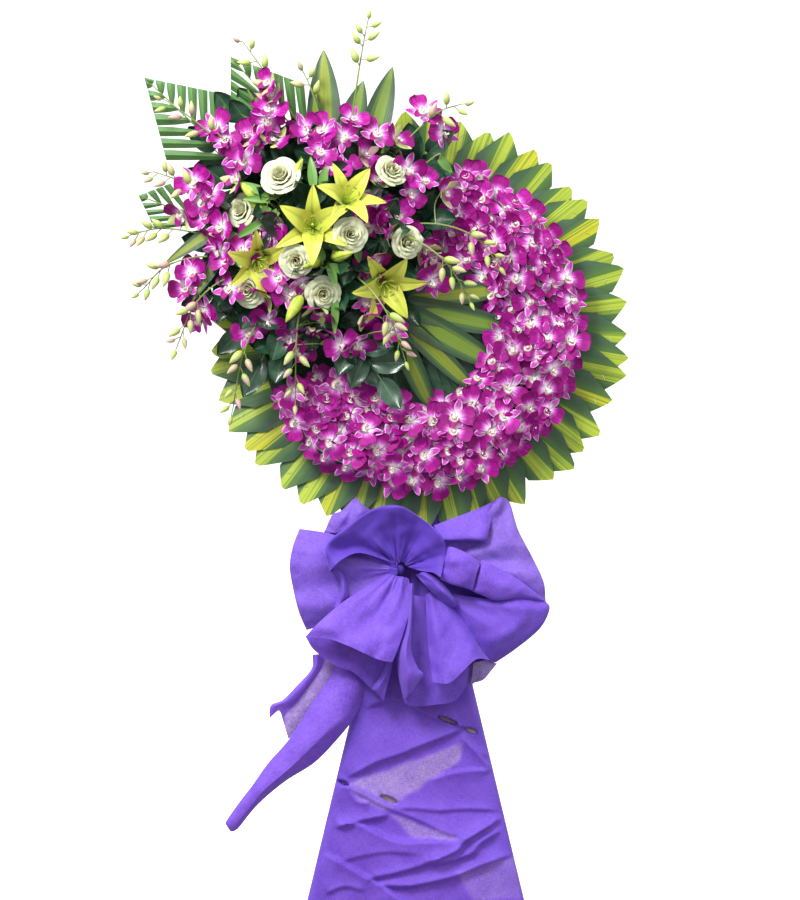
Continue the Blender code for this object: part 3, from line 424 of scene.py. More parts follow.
def leg_reach(up):
    """How far a front leg's middle line stands from the easel's, at a height on the easel."""
    return LEG_SLOPE * (LEG_APEX - up)


for name, side in (("left", -1), ("right", 1)):
    foot, top = ((side * leg_reach(up), up, LEG_MIDDLE) for up in (FLOOR_UP + FOOT_LIFT, LEG_TOP))
    pole = Gathered().add(culm(foot, top), tone=side + 2.0)
    pole.piece("front_pole_" + name, [BAMBOO], "bamboo", ["leg_" + name])

low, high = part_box("leg_rear")
foot = EASEL.inverted() @ Vector(((low[0] + high[0]) / 2, high[1] - REAR_FOOT_IN, FOOT_LIFT))
Gathered().add(culm(foot, REAR_TOP), tone=5.0).piece("rear_pole", [BAMBOO], "bamboo", ["leg_rear"])

laths = Gathered()
for up_left, up_right, tone in LATHS:
    ends = (-leg_reach(up_left), up_left, 0), (leg_reach(up_right), up_right, 0)
    laths.add(plank(*ends, *LATH_SPLIT), tone=tone)
laths.piece("split_laths", [BAMBOO], "bamboo", ["lath_upper", "lath_lower"])

Gathered().add(plank(*CROSS_STRIP), tone=3.0).piece("cross_strip", [BAMBOO], "bamboo", ["crosspiece"])
Gathered().add(plank(*FLAT_POST), tone=4.0).piece("flat_post", [BAMBOO], "bamboo", ["easel_post"])


# The backing board is thin plywood, which shows only from behind, and the ring on it is dry dark green foam.
# Both keep their solids, with a sawn grain on the one and open cells on the other.
PLYWOOD = Skin("plywood", 0.8)
spread = PLYWOOD.add("Mapping", {"Vector": PLYWOOD.add("TexCoord", out="Object"), "Scale": (2.0, 60.0, 60.0)})
grain = PLYWOOD.add("TexNoise", {"Vector": spread, "Scale": 1.4, "Detail": 4.0}, "Fac")
tan = PLYWOOD.blend(PLYWOOD.step(grain, 0.35, 0.65), (0.24, 0.155, 0.08), (0.50, 0.36, 0.20))
PLYWOOD.colour(PLYWOOD.blend(PLYWOOD.patches(0.09), tan, (0.20, 0.13, 0.07), 0.4))
PLYWOOD.relief(grain, 0.0008)

FOAM = Skin("floral_foam", 0.97)
cells = FOAM.add("TexVoronoi", {"Vector": FOAM.add("TexCoord", out="Object"), "Scale": 420.0}, "Distance")
crumbs = FOAM.step(cells, 0.15, 0.65)
green = FOAM.blend(crumbs, (0.006, 0.020, 0.010), (0.030, 0.075, 0.035))
FOAM.colour(FOAM.blend(FOAM.patches(0.03), green, (0.012, 0.030, 0.016), 0.5))
FOAM.relief(crumbs, 0.0012)

for node, skin in (("backing_board", PLYWOOD), ("foam_ring", FOAM), ("foam_block", FOAM)):
    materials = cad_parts[node].data.materials
    materials.clear()
    materials.append(skin.made)


# The edging is fifty striped dracaena leaves, each cut to a point, laid over the next like slates round the
# rim and stapled to a strip. Every leaf is green at both sides with yellow-green stripes down the middle.
LEAF_COUNT = 50
LEAF_LENGTH = 0.172
LEAF_HALF_WIDTH = 0.036
LEAF_ROOT_RADIUS = 0.232
LEAF_MIDDLE = 0.0062
LEAF_TWIST = math.radians(6.5)
LEAF_STRAY = 0.055
LEAF_THICK = 0.0007
# How far apart the tones of leaves or florets that lie side by side are
TONE_STEP = 0.61
# By how much a leaf's tone is turned to give how broad its stripe is, and whether it has turned yellow
STRIPE_TURN = 2.618
YELLOW_TURN = 5.3
# Where its two staples are: how far along it, and how far aside of its middle
STAPLES = ((0.80, 0.35), (0.60, 0.80))
STAPLE_WIRE = 0.00042
# The bends of a staple's wire: how far aside of its middle, and how far above the leaf
STAPLE_BENDS = ((-0.0045, -0.003), (-0.0044, 0.0006), (0.0044, 0.0006), (0.0045, -0.003))
LEAF_FINISH, STAPLE_FINISH = 0, 1


def quads_of(grid):
    return np.stack([grid[:-1, :-1], grid[:-1, 1:], grid[1:, 1:], grid[1:, :-1]], -1).reshape(-1, 4)


@lru_cache(maxsize=None)
def blade_quads(rows, columns):
    """Quads of a closed blade: a front grid, and a back one that shares its rim."""
    front = np.arange(rows * columns).reshape(rows, columns)
    back = front.copy()
    back[1:-1, 1:-1] = rows * columns + np.arange((rows - 2) * (columns - 2)).reshape(rows - 2, columns - 2)
    return [quads_of(front), quads_of(back)[:, ::-1]]


def facing_of(grid):
    """Which way a grid of points faces at each."""
    slope = np.cross(np.gradient(grid, axis=1), np.gradient(grid, axis=0))
    return slope / np.maximum(np.linalg.norm(slope, axis=2), 1e-12)[..., None]


def skinned(grid, across, along, thick):
    """Closes a grid of points into a thin blade, with its place marks."""
    rows, columns, _ = grid.shape
    back = (grid - facing_of(grid) * thick)[1:-1, 1:-1]
    place = np.zeros(grid.shape)
    place[..., 0] = across
    place[..., 1] = along
    places = np.concatenate([place.reshape(-1, 3), place[1:-1, 1:-1].reshape(-1, 3)])
    return np.concatenate([grid.reshape(-1, 3), back.reshape(-1, 3)]), blade_quads(rows, columns), places


def blade_net(rows, columns):
    """The shares along and across a blade at which its points lie."""
    return np.linspace(0, 1, rows)[:, None], np.linspace(-1, 1, columns)[None, :]


def blade(rows, columns, length, half, outline, rise, thick=0.0006):
    """A leaf or petal: outline gives its half-width along it, from 0 to 1, and rise its height at a place."""
    along, across = blade_net(rows, columns)
    along = 1 - (1 - along) ** 1.35
    width = np.clip(outline(along), 0.03, None) * half
    grid = np.broadcast_arrays(across * width, along * length, rise(across, along))
    return skinned(np.stack(grid, -1), across, along, thick)


def aimed(at, facing, spin=0.0, size=1.0):
    """A placement at a point: local z along facing, local y as near up as it can be, then turned by spin."""
    z = Vector(facing).normalized()
    up = Vector((0, 1, 0)) if abs(z.y) < 0.95 else Vector((-1, 0, 0))
    x = up.cross(z).normalized()
    turn = Matrix((x, z.cross(x), z)).transposed().to_4x4()
    return Matrix.Translation(at) @ turn @ Matrix.Rotation(spin, 4, "Z") @ Matrix.Scale(size, 4)


def along_line(at, direction, face=(0, 0, 1)):
    """A placement at a point: local y along direction, local z as near face as it can be."""
    y = Vector(direction).normalized()
    x = y.cross(Vector(face)).normalized()
    return Matrix.Translation(at) @ Matrix((x, y, x.cross(y))).transposed().to_4x4()


def turned_by(angle):
    return Vector((math.cos(angle), math.sin(angle), 0))


def outward(distance):
    return Vector((0, 0, distance))


def striped_leaf(name, greens, limes, yellows):
    """Green at both sides and striped down the middle; now and then a leaf whose stripe has turned yellow."""
    leaf = BladeSkin(name, 0.42, Coat_Weight=0.10, Coat_Roughness=0.4)
    own = leaf.own_share(STRIPE_TURN)
    fine, broad = leaf.lines(26.0, 1.2), leaf.lines(6.0, 0.5)
    drifted = abs(leaf.across + (own - 1.1) * 0.24) + (broad - 0.5) * 0.55 - leaf.along * 0.15
    stripe = leaf.step(drifted - (own * 0.26 + 0.08), 0.07, -0.05)
    streaks = leaf.step(leaf.lines(17.0, 0.4, leaf.tone + 3.0), 0.50, 0.62)
    green = leaf.blend(fine, *greens)
    green = leaf.blend(leaf.patches(0.05, leaf.tone), green, (0.034, 0.095, 0.050), 0.5)
    green = leaf.blend(leaf.step(drifted, 0.75, 0.20), green, (0.075, 0.170, 0.030))
    turned = leaf.step(leaf.own_share(YELLOW_TURN), 0.74, 0.90)
    lime = leaf.blend(turned, leaf.blend(fine, *limes), leaf.blend(fine, *yellows))
    lime = leaf.blend(streaks, lime, (0.10, 0.22, 0.025), 0.75)
    coloured = leaf.blend(stripe, green, lime)
    leaf.colour(leaf.blend(leaf.by_middle(0.035, 0.012), coloured, (0.12, 0.22, 0.03), 0.4))
    gloss = leaf.add("MapRange", {"Value": fine, "To Min": 0.34, "To Max": 0.52})
    leaf.feed(leaf.shader.inputs["Roughness"], gloss)
    leaf.relief(fine, 0.0008)
    return leaf


STRIPED = striped_leaf("striped_leaf", ((0.021, 0.061, 0.028), (0.068, 0.138, 0.064)),
                       ((0.29, 0.40, 0.022), (0.51, 0.61, 0.060)), ((0.42, 0.44, 0.010), (0.66, 0.64, 0.030)))
STEEL = Skin("staple_steel", 0.3, Metallic=1.0)
STEEL.colour(STEEL.blend(STEEL.patches(0.002), (0.62, 0.63, 0.65), (0.90, 0.90, 0.90)))


def edging_leaf(longer, wave, tip):
    """One edging leaf: its sides run straight and its end is cut to a tip a little off the middle."""
    along, across = blade_net(15, 9)
    width = LEAF_HALF_WIDTH * (0.62 + 0.38 * np.clip(along / 0.55, 0, 1) ** 0.8)
    end = (LEAF_LENGTH + longer) * (1 - 0.20 * np.maximum((across - tip) / (1 - tip), 0) ** 1.15
                                    - 0.36 * np.maximum((tip - across) / (1 + tip), 0) ** 1.1)
    z = 0.0016 * (1 - across ** 2) * (along > 0) + 0.0009 * np.sin(9 * along + wave) * across * along
    return skinned(np.stack([across * width, along * end, z], -1), across, along, LEAF_THICK)


def staple(at, way):
    """A wire staple lying on the leaf, its legs going in."""
    side = Vector(way).normalized()
    return tube([at + side * aside + outward(above) for aside, above in STAPLE_BENDS], STAPLE_WIRE)


dice = random.Random(11)
longer = [dice.uniform(-0.011, 0.009) for _ in range(LEAF_COUNT)]
edging = Gathered()
for i in range(LEAF_COUNT):
    out = turned_by(2 * math.pi * (i + dice.uniform(-0.20, 0.20)) / LEAF_COUNT)
    stray = Matrix.Rotation(dice.uniform(-LEAF_STRAY, LEAF_STRAY), 4, "Z")
    placed = along_line(out * LEAF_ROOT_RADIUS + outward(LEAF_MIDDLE), out)
    placed = placed @ Matrix.Rotation(LEAF_TWIST, 4, "Y") @ stray
    leaf = edging_leaf(longer[i], dice.uniform(0, 6), dice.uniform(-0.12, 0.20))
    edging.add(leaf, placed, i * TONE_STEP, LEAF_FINISH)
    for share, aside in STAPLES:
        at = placed @ Vector((aside * LEAF_HALF_WIDTH, share * LEAF_LENGTH, 0.0012))
        way = placed.to_3x3() @ Vector((0.75, 0.66 * dice.choice((-1, 1)), 0))
        edging.add(staple(at, way), finish=STAPLE_FINISH)
edging.piece("edging_leaves", [STRIPED, STEEL], "striped_leaf", [f"leaf_edging_{i}" for i in range(1, 5)])


# The ring is covered with single dendrobium florets, pinned face out and overlapping from the upper right
# clockwise to the lower left. Each has three sepals, two broad petals, a lip and a white column.
BED_FROM = math.radians(-157)
BED_TO = math.radians(76)
BED_PARTING = -0.7
# Each row of florets: its radius, how far it tilts outwards in degrees, and its height on the foam
FLORET_ROWS = ((0.160, -24, 0.050), (0.187, -14, 0.058), (0.215, -5, 0.063), (0.243, 6, 0.063),
               (0.270, 15, 0.058), (0.294, 26, 0.050))
FLORET_PITCH = 0.0430
FLORET_RADIUS = 0.0345
# How much further a closed floret's petals lean in than an open one's, in degrees
CLOSED_LEAN = 62
# How far the florets of each kind are open, and how often the ring takes each kind
FLORETS_OPEN = (1.0, 1.0, 0.97, 0.93, 0.9, 0.84, 0.78, 0.6)
RING_KINDS = (0, 0, 1, 2, 2, 3, 4, 5)


def tapered(base, tip, foot=0.06):
    """A half-width along a blade that opens from a narrow foot and closes at a round or pointed tip."""
    def outline(along):
        shape = (along + foot) ** base * np.maximum(1.0 - along, 0) ** tip
        peak = np.max((np.linspace(0, 1, 50) + foot) ** base * (1 - np.linspace(0, 1, 50)) ** tip)
        return shape / peak
    return outline


THIN_PETAL = {"Subsurface_Weight": 0.08, "Subsurface_Scale": 0.003, "Specular_IOR_Level": 0.25}
PETAL = BladeSkin("orchid_petal", 0.6, **THIN_PETAL)
fine = PETAL.lines(9.0, 0.8)
reach = PETAL.along + (fine - 0.5) * 0.5 + abs(PETAL.across) * 0.12
edge = PETAL.blend(PETAL.own_share(1.7), (0.27, 0.0, 0.175), (0.46, 0.003, 0.33))
edge = PETAL.blend(PETAL.step(fine, 0.62, 0.42), edge, (0.22, 0.0, 0.14))
edge = PETAL.blend(PETAL.step(reach, 0.62, 0.34), edge, (0.60, 0.10, 0.55))
PETAL.colour(PETAL.blend(PETAL.step(reach, 0.42, 0.16), edge, (0.88, 0.76, 0.86)))
PETAL.relief(fine, 0.0006)

SEPAL = BladeSkin("orchid_sepal", 0.6, **THIN_PETAL)
fine = SEPAL.lines(5.0, 0.5)
edge = SEPAL.blend(SEPAL.step(fine, 0.38, 0.62), (0.34, 0.0, 0.25), (0.58, 0.10, 0.50))
edge = SEPAL.blend(SEPAL.by_middle(0.62, 0.95), edge, (0.80, 0.52, 0.78))
white = SEPAL.step(SEPAL.along + (fine - 0.5) * 0.8, 0.60, 0.16)
SEPAL.colour(SEPAL.blend(white, edge, (0.90, 0.82, 0.88)))
SEPAL.relief(fine, 0.0006)

LIP = BladeSkin("orchid_lip", 0.55, Specular_IOR_Level=0.3)
fine = LIP.lines(10.0, 1.0)
edge = LIP.blend(fine, (0.16, 0.0, 0.09), (0.42, 0.0, 0.26))
cream = LIP.blend(LIP.step(LIP.along, 0.22, 0.06), (0.86, 0.80, 0.66), (0.36, 0.28, 0.14))
LIP.colour(LIP.blend(LIP.step(LIP.along, 0.55, 0.30), edge, cream))
LIP.relief(fine, 0.0006)

COLUMN = BladeSkin("orchid_column", 0.4)
COLUMN.colour(COLUMN.blend(COLUMN.patches(0.006, COLUMN.tone), (0.88, 0.84, 0.78), (0.84, 0.66, 0.80)))

ORCHID = [PETAL, SEPAL, LIP, COLUMN]
PETAL_FINISH, SEPAL_FINISH, LIP_FINISH, COLUMN_FINISH = range(4)


def floret(dice, open_share):
    """One floret a unit in radius, facing local z: the shape, finish and placement of each of its parts.

    Below an open share of 1 it closes to a cup.
    """
    shapes = []

    def put(shape, finish, angle, lift, lean):
        turn = Matrix.Rotation(math.radians(angle), 4, "Z") @ Matrix.Translation((0, 0.03, lift))
        tilt = Matrix.Rotation(math.radians(lean + CLOSED_LEAN * (1.0 - open_share)), 4, "X")
        shapes.append((shape, finish, turn @ tilt))

    for angle in (0, 132, -132):
        curl = dice.uniform(-0.10, 0.12)
        rise = lambda a, v: -0.10 * a ** 2 * (1 - v) + curl * v ** 2 - 0.05 * np.sin(3 * v)
        sepal = blade(7, 5, dice.uniform(0.92, 1.02), 0.23, tapered(0.60, 0.72), rise, 0.02)
        put(sepal, SEPAL_FINISH, angle + dice.uniform(-7, 7), -0.01, dice.uniform(4, 20))
    for angle in (70, -70):
        curl, twist = dice.uniform(-0.10, 0.10), dice.uniform(-0.10, 0.10)
        rise = lambda a, v: 0.07 * a ** 2 * v + curl * v ** 2 + twist * a * v + 0.03 * np.sin(5 * a) * v
        petal = blade(8, 6, dice.uniform(1.0, 1.06), 0.50, tapered(0.95, 0.36), rise, 0.02)
        put(petal, PETAL_FINISH, angle + dice.uniform(-7, 7), 0.04, dice.uniform(0, 16))
    rise = lambda a, v: 0.22 * a ** 2 * (1.1 - v) - 0.24 * v ** 2
    put(blade(7, 5, 0.62, 0.24, tapered(0.30, 0.34), rise, 0.02), LIP_FINISH, 180, 0.06, 40)
    for side in (-1, 1):
        lobe = blade(5, 4, 0.27, 0.11, tapered(0.5, 0.5), lambda a, v: 0.06 * a ** 2, 0.02)
        put(lobe, COLUMN_FINISH, 180 + side * 42, 0.10, 58)
    knots = [(0, 0.02, -0.02), (0, 0.0, 0.09), (0, -0.05, 0.19), (0, -0.10, 0.22)]
    shapes.append((tube(knots, [0.06, 0.085, 0.095, 0.03]), COLUMN_FINISH, Matrix.Identity(4)))
    return shapes


dice = random.Random(31)
FLORETS = [floret(dice, share) for share in FLORETS_OPEN]


def add_floret(gathered, at, facing, spin, radius, tone, kind, sepals=SEPAL_FINISH):
    placed = aimed(at, facing, spin, radius)
    for shape, finish, own in FLORETS[kind]:
        gathered.add(shape, placed @ own, tone, sepals if finish == SEPAL_FINISH else finish)


dice = random.Random(5)
places = []
for row, (radius, tilt, height) in enumerate(FLORET_ROWS):
    count = round((BED_TO - BED_FROM) * radius / FLORET_PITCH)
    for i in range(count):
        share = (i + 0.5 + 0.5 * (row % 2) * (i < count - 1)) / count
        places.append((BED_FROM + (BED_TO - BED_FROM) * share, radius, math.radians(tilt), height))
dice.shuffle(places)
beds = [Gathered(), Gathered()]
for i, (angle, radius, tilt, height) in enumerate(places):
    out = turned_by(angle + dice.uniform(-0.02, 0.02))
    radius += dice.uniform(-0.005, 0.005)
    facing = outward(math.cos(tilt)) + out * math.sin(tilt)
    facing += Vector((dice.uniform(-0.30, 0.30), dice.uniform(-0.30, 0.30), 0))
    at = out * radius + outward(height + 0.007 * (i % 3) + dice.uniform(-0.002, 0.002))
    size = FLORET_RADIUS * dice.uniform(0.90, 1.10)
    # the stems turn round the ring, and the florets' upper sepals with them
    upright = 0.9 + 0.62 * angle
    spin = upright - math.pi / 2 + dice.uniform(-0.6, 0.6) + 0.6
    add_floret(beds[angle > BED_PARTING], at, facing, spin, size, i * TONE_STEP, dice.choice(RING_KINDS))
beds[0].piece("ring_florets_lower", ORCHID, "orchid", ["orchid_ring_1", "orchid_ring_2"])
beds[1].piece("ring_florets_upper", ORCHID, "orchid", ["orchid_ring_3", "orchid_ring_4"])


# The spray stands in a block of wet foam at the ring's upper left. The stems of everything below leave that
# block where they would be pushed in.
BLOCK_AT = (-0.175, 0.160)
BLOCK_SIZE = (0.250, 0.150)
BLOCK_TURN = math.radians(45)
BLOCK_BACK = 0.0363
BLOCK_FRONT = 0.106
# How far out of the block's middle a stem may be bound, along it and across it
CORE_REACH = (0.085, 0.035)
ROOT_DEPTH = 0.020
STEM_FREE = 0.010
block_turn = Matrix.Translation((*BLOCK_AT, 0)) @ Matrix.Rotation(BLOCK_TURN, 4, "Z")


def rooted(toward):
    """The foot of a stem bound for a point: its end in the block, where it is free, and its direction."""
    bound = block_turn.inverted() @ Vector(toward)
    core = Vector((min(max(0.55 * bound.x, -CORE_REACH[0]), CORE_REACH[0]),
                   min(max(0.3 * bound.y, -CORE_REACH[1]), CORE_REACH[1]), (BLOCK_BACK + BLOCK_FRONT) / 2))
    step = bound - core
    shares = []
    for low, high, start, move in ((-BLOCK_SIZE[0] / 2, BLOCK_SIZE[0] / 2, core.x, step.x),
                                   (-BLOCK_SIZE[1] / 2, BLOCK_SIZE[1] / 2, core.y, step.y),
                                   (BLOCK_BACK, BLOCK_FRONT, core.z, step.z)):
        if abs(move) > 1e-9:
            shares.append(max((low - start) / move, (high - start) / move))
    seat = block_turn @ (core + step * min(shares))
    direction = (block_turn.to_3x3() @ step).normalized()
    return [seat - direction * ROOT_DEPTH, seat + direction * STEM_FREE], direction


# The stem's place among the finishes of the leaves, roses and lilies below
ON_STEM = 1
STEM = BladeSkin("green_stem", 0.5)
green = STEM.blend(STEM.lines(4.0, 40.0), (0.10, 0.20, 0.03), (0.26, 0.36, 0.07))
STEM.colour(STEM.blend(STEM.patches(0.03, STEM.tone), green, (0.22, 0.12, 0.12), 0.35))


# Striped dracaena leaves stand up behind the spray, hang at its lower left, and cross the ring's open middle.
# They are the same leaves as the edging, left at their full length.

# For each group: how sharply its leaves come to a point, and in millimetres where its stem parts, and for
# each leaf its tip, half its width and how far aside of the parting it is rooted
STRAPS = (
    ("top", 0.82, (-128, 318, 92), ((-174, 516, 84, 33, -44), (-99, 457, 96, 28, -6), (-44, 484, 88, 27, 40),
                                    (-189, 442, 108, 16, -60))),
    ("side", 0.82, (-300, 236, 92), ((-474, 110, 118, 17, 0), (-420, 40, 124, 16, 0))),
    ("middle", 0.36, (-72, 48, 84), ((160, 66, 56, 22, 0), (172, -6, 54, 25, 0), (142, -70, 56, 27, 0),
                                     (104, -117, 52, 20, 0), (27, -152, 52, 21, 0))),
)
# How broad their yellow stripes are
STRIPE_SHARES = (0.93, 0.80, 0.97, 0.90, 0.85)
STRAP_STEM = 0.0029
STRAP_NECK = 0.0019
# How far the leaves are set beyond the parting, and how far their feet run back past it
STRAP_ON = 0.010
STRAP_BACK = 0.014

# The strap leaves' skin is the edging's with darker greens and limes: painted shade on leaves of the same
# kind.
SHADED_STRAP = striped_leaf("strap_leaf", ((0.012, 0.034, 0.011), (0.038, 0.076, 0.026)),
                     ((0.100, 0.175, 0.012), (0.215, 0.300, 0.030)),
                     ((0.160, 0.200, 0.008), (0.320, 0.340, 0.022)))


def strap_leaf(length, half, point=0.66):
    """A long leaf with a shallow trough along its rib, which bends over towards its tip."""
    def rise(across, along):
        arch = 0.15 * length * along * (0.9 - along)
        return arch + 0.22 * half * across ** 2 * (1 - along) + 0.05 * half * np.sin(7 * along) * across
    return blade(17, 7, length, half, tapered(0.52, point, 0.10), rise, 0.0007)


for group, point, parting, leaves in STRAPS:
    parting = Vector(parting) / 1000
    foot, direction = rooted(parting)
    tips = [Vector(tip) / 1000 for *tip, half, aside in leaves]
    middle = (sum(tips, Vector()) / len(tips) - parting).normalized()
    stem = tube(smooth_run([*foot, parting, parting + middle * 0.030], 4), STRAP_STEM, 8)
    straps = Gathered().add(stem, tone=0.4, finish=ON_STEM)
    for i, (tip, (*_, half, aside)) in enumerate(zip(tips, leaves)):
        root = parting + middle * STRAP_ON + Vector((aside / 1000, 0, 0.0012 * (i - 1)))
        root -= (tip - root).normalized() * STRAP_BACK
        way = tip - root
        if aside:
            neck = smooth_run([parting - direction * 0.020, parting.lerp(root, 0.7), root + way * 0.03], 4)
            straps.add(tube(neck, STRAP_NECK), tone=0.4, finish=ON_STEM)
        leaf = strap_leaf(way.length, half / 1000, point)
        straps.add(leaf, along_line(root, way), tone=(i + STRIPE_SHARES[i]) / STRIPE_TURN)
    straps.piece(f"striped_leaf_group_{group}", [SHADED_STRAP, STEM], "striped_leaf", [f"striped_leaves_{group}"])


# Three palm leaves are trimmed with scissors to straight edges and stand at the upper left. Each has a rib
# with a row of narrow leaflets on both sides, which end square on the trimmed edges.

# For each, in millimetres: where it is rooted, the lower and the upper end of its rib, how far forward it
# stands, and for each side the end of its trimmed edge, the way its leaflets run and how many they are
PALMS = (
    ((-300, 300, 78), (-350, 312), (-512, 465), 74, (((-470, 308), (-1.0, 0.03), 7), ((-352, 432),
                                                                                      (-0.04, 1.0), 8))),
    ((-262, 360, 84), (-212, 346), (-349, 504), 80, (((-349, 398), (-0.8, 0.55), 5), ((-210, 452),
                                                                                      (-0.12, 1.0), 7))),
    ((-330, 212, 80), (-428, 207), (-523, 243), 72, (((-492, 178), (-1.0, -0.08), 5), ((-462, 266),
                                                                                       (-0.6, 0.8), 4))),
)
PALM_RIB = (0.0030, 0.0010)
LEAFLET_THICK = 0.0007

PALM = BladeSkin("palm_leaf", 0.45, Coat_Weight=0.08)
fine = PALM.lines(5.0, 1.5)
green = PALM.blend(fine, (0.030, 0.105, 0.028), (0.115, 0.26, 0.07))
PALM.colour(PALM.blend(PALM.by_middle(0.16, 0.05), green, (0.12, 0.25, 0.05), 0.6))
PALM.relief(fine, 0.0005)


def meeting(start, way, a, b):
    """How far along a way from a start the line through a and b is met."""
    side = b - a
    return float(np.cross(a - start, side) / np.cross(way, side))


def leaflet(on_rib, end, rib_way, edge_way, pitch, lift):
    """A leaflet folded along its middle, from the rib to its square end on the trimmed edge."""
    along, across = (net[..., None] for net in blade_net(9, 7))
    side = rib_way * (1 - along) + edge_way * along
    swell = 0.26 + 0.21 * np.sin(np.clip(along * 1.6, 0, 1) * math.pi / 2)
    flat = on_rib + (end - on_rib) * along + side * across * pitch * swell
    fold = 0.35 * pitch * (0.5 - np.abs(across)) * (0.3 + 0.7 * along)
    droop = lift * np.sin(along * 2.2) - 0.006 * along ** 3 + fold
    return skinned(np.concatenate([flat, droop], -1), across[..., 0], along[..., 0], LEAFLET_THICK)


dice = random.Random(8)
for number, (root, low, high, stands, sides) in enumerate(PALMS, 1):
    root, stands = Vector(root) / 1000, stands / 1000
    low, high = np.array(low) / 1000, np.array(high) / 1000
    knots = [*rooted(root)[0], root, (*low, stands), (*((low + high) / 2), stands + 0.003), (*high, stands)]
    run = smooth_run(knots, 4)
    fan = Gathered().add(tube(run, np.linspace(*PALM_RIB, len(run)), 8), tone=0.8, finish=ON_STEM)
    rib_way = (high - low) / np.linalg.norm(high - low)
    for edge_end, way, count in sides:
        edge_end = np.array(edge_end) / 1000
        way = np.array(way) / math.hypot(*way)
        edge = high - edge_end
        edge_long = np.linalg.norm(edge)
        for i in range(count):
            end = edge_end + edge * (i + 0.5) / count
            on_rib = end - way * meeting(end, -way, low, high)
            pitch = edge_long / count * dice.uniform(0.9, 1.08)
            made = leaflet(on_rib, end, rib_way, edge / edge_long, pitch, dice.uniform(-0.001, 0.006))
            fan.add(made, Matrix.Translation((0, 0, stands)), tone=i * 0.41 + number)
    fan.piece(f"trimmed_palm_{number}", [PALM, STEM], "palm", [f"palm_fan_{number}"])


# Sprigs of dark glossy leaves fill the gaps between the flowers. They stand low in the foam, so that the
# flowers come out over them.

# Where each sprig ends in millimetres, and how many leaves it has
SPRIGS = ((22, 322, 80, 11), (-380, 330, 40, 10), (-246, -40, 84, 11), (-66, -104, 96, 10))
# Where the twigs end that fill the gaps, each with six leaves, and how far they are pushed in from there
FILLERS = ((-60, 250, 96), (-20, 262, 84), (-100, 300, 104), (-180, 320, 108), (-236, 300, 104),
           (-300, 262, 104),
           (-352, 196, 96), (-330, 128, 100), (-362, 96, 90), (-286, 40, 100), (-250, -6, 108),
           (-196, 6, 112),
           (-140, -10, 104), (-150, 60, 132), (-80, 60, 112), (-40, 110, 112), (8, 196, 92), (-66, 176, 138),
           (-116, 120, 140), (-180, 110, 150), (-250, 176, 148), (-206, 232, 148), (-262, 226, 138),
           (-112, 256, 140),
           (-70, 20, 96), (-40, 40, 96), (-104, -56, 92), (-60, -30, 88), (-292, -70, 70), (-330, -10, 74),
           (-290, 330, 84), (-262, 352, 84), (-352, 262, 86), (-372, 252, 80), (-318, 300, 90),
           (-20, 120, 96),
           (-12, 150, 92), (-376, 150, 84), (-384, 60, 84), (-330, 60, 96), (-334, 384, 78), (-312, 374, 84),
           (-292, 386, 80))
FILLER_LEAVES = 6
FILLER_SINK = 0.012
FILLER_SIZE = 0.95
# Broad dark leaves lie across the open middle behind the striped ones: the angles of their tips
MIDDLE_ANGLES = (100, 78, 56, 34, 12, -10, -21, -32, -43, -54, -65, -76, -87, -98, -120)
MIDDLE_FOOT = (-0.060, 0.035, 0.040)
MIDDLE_TIP = 0.044
MIDDLE_REACH = 0.168
MIDDLE_HALF = (0.034, 0.040)
# A twig's radius at its foot and at its end, and how long its leaves may be
TWIG = (0.0022, 0.0012)
TWIG_LEAF = (0.064, 0.082)

GLOSSY = BladeSkin("glossy_leaf", 0.28, Coat_Weight=0.35, Coat_Roughness=0.2)
slant = GLOSSY.along * 9.0 + abs(GLOSSY.across) * -4.0
ribs = GLOSSY.step(GLOSSY.maths("PINGPONG", slant, 0.5), 0.10, 0.0)
green = GLOSSY.blend(GLOSSY.patches(0.018, GLOSSY.tone), (0.008, 0.038, 0.020), (0.025, 0.085, 0.040))
green = GLOSSY.blend(ribs, green, (0.05, 0.14, 0.06), 0.25)
GLOSSY.colour(GLOSSY.blend(GLOSSY.by_middle(0.07, 0.02), green, (0.09, 0.20, 0.07), 0.55))
GLOSSY.relief(ribs, -0.0006)


def oval_leaf(length, half, bend):
    def rise(across, along):
        ruffle = 0.10 * half * np.sin(8 * along) * np.abs(across)
        return bend * length * along ** 2 + 0.28 * half * across ** 2 + ruffle
    return blade(11, 7, length, half, tapered(0.62, 0.72, 0.03), rise)


def leafy_twig(gathered, end, leaves, dice, size=1.0):
    """A twig from the foam to its end, with leaves set alternately along it."""
    (sunk, start), _ = rooted(end)
    run = smooth_run([sunk, start, start.lerp(end, 0.5) + outward(0.008), end], 5)
    gathered.add(tube(run, np.linspace(*TWIG, len(run))), tone=0.2, finish=ON_STEM)
    way_on = (end - start).normalized()
    across = way_on.cross(outward(1)).normalized()
    for i in range(leaves):
        side = 0 if i == leaves - 1 else (1 if i % 2 else -1)
        share = 0.25 + 0.75 * i / (leaves - 1)
        way = way_on * (0.6 + 0.4 * (side == 0)) + across * side * 0.9 + outward(dice.uniform(0.1, 0.5))
        length = size * dice.uniform(*TWIG_LEAF)
        face = Vector((dice.uniform(-0.3, 0.3), dice.uniform(-0.3, 0.3), 1))
        leaf = oval_leaf(length, length * 0.29, dice.uniform(-0.22, 0.05))
        on_twig = Vector(run[int(share * (len(run) - 1))])
        gathered.add(leaf, along_line(on_twig, way, face), tone=dice.random() * 5)


dice = random.Random(17)
for number, (*end, leaves) in enumerate(SPRIGS, 1):
    sprig = Gathered()
    leafy_twig(sprig, Vector(end) / 1000, leaves, dice)
    sprig.piece(f"glossy_sprig_{number}", [GLOSSY, STEM], "dark_leaf", [f"leafy_sprig_{number}"])

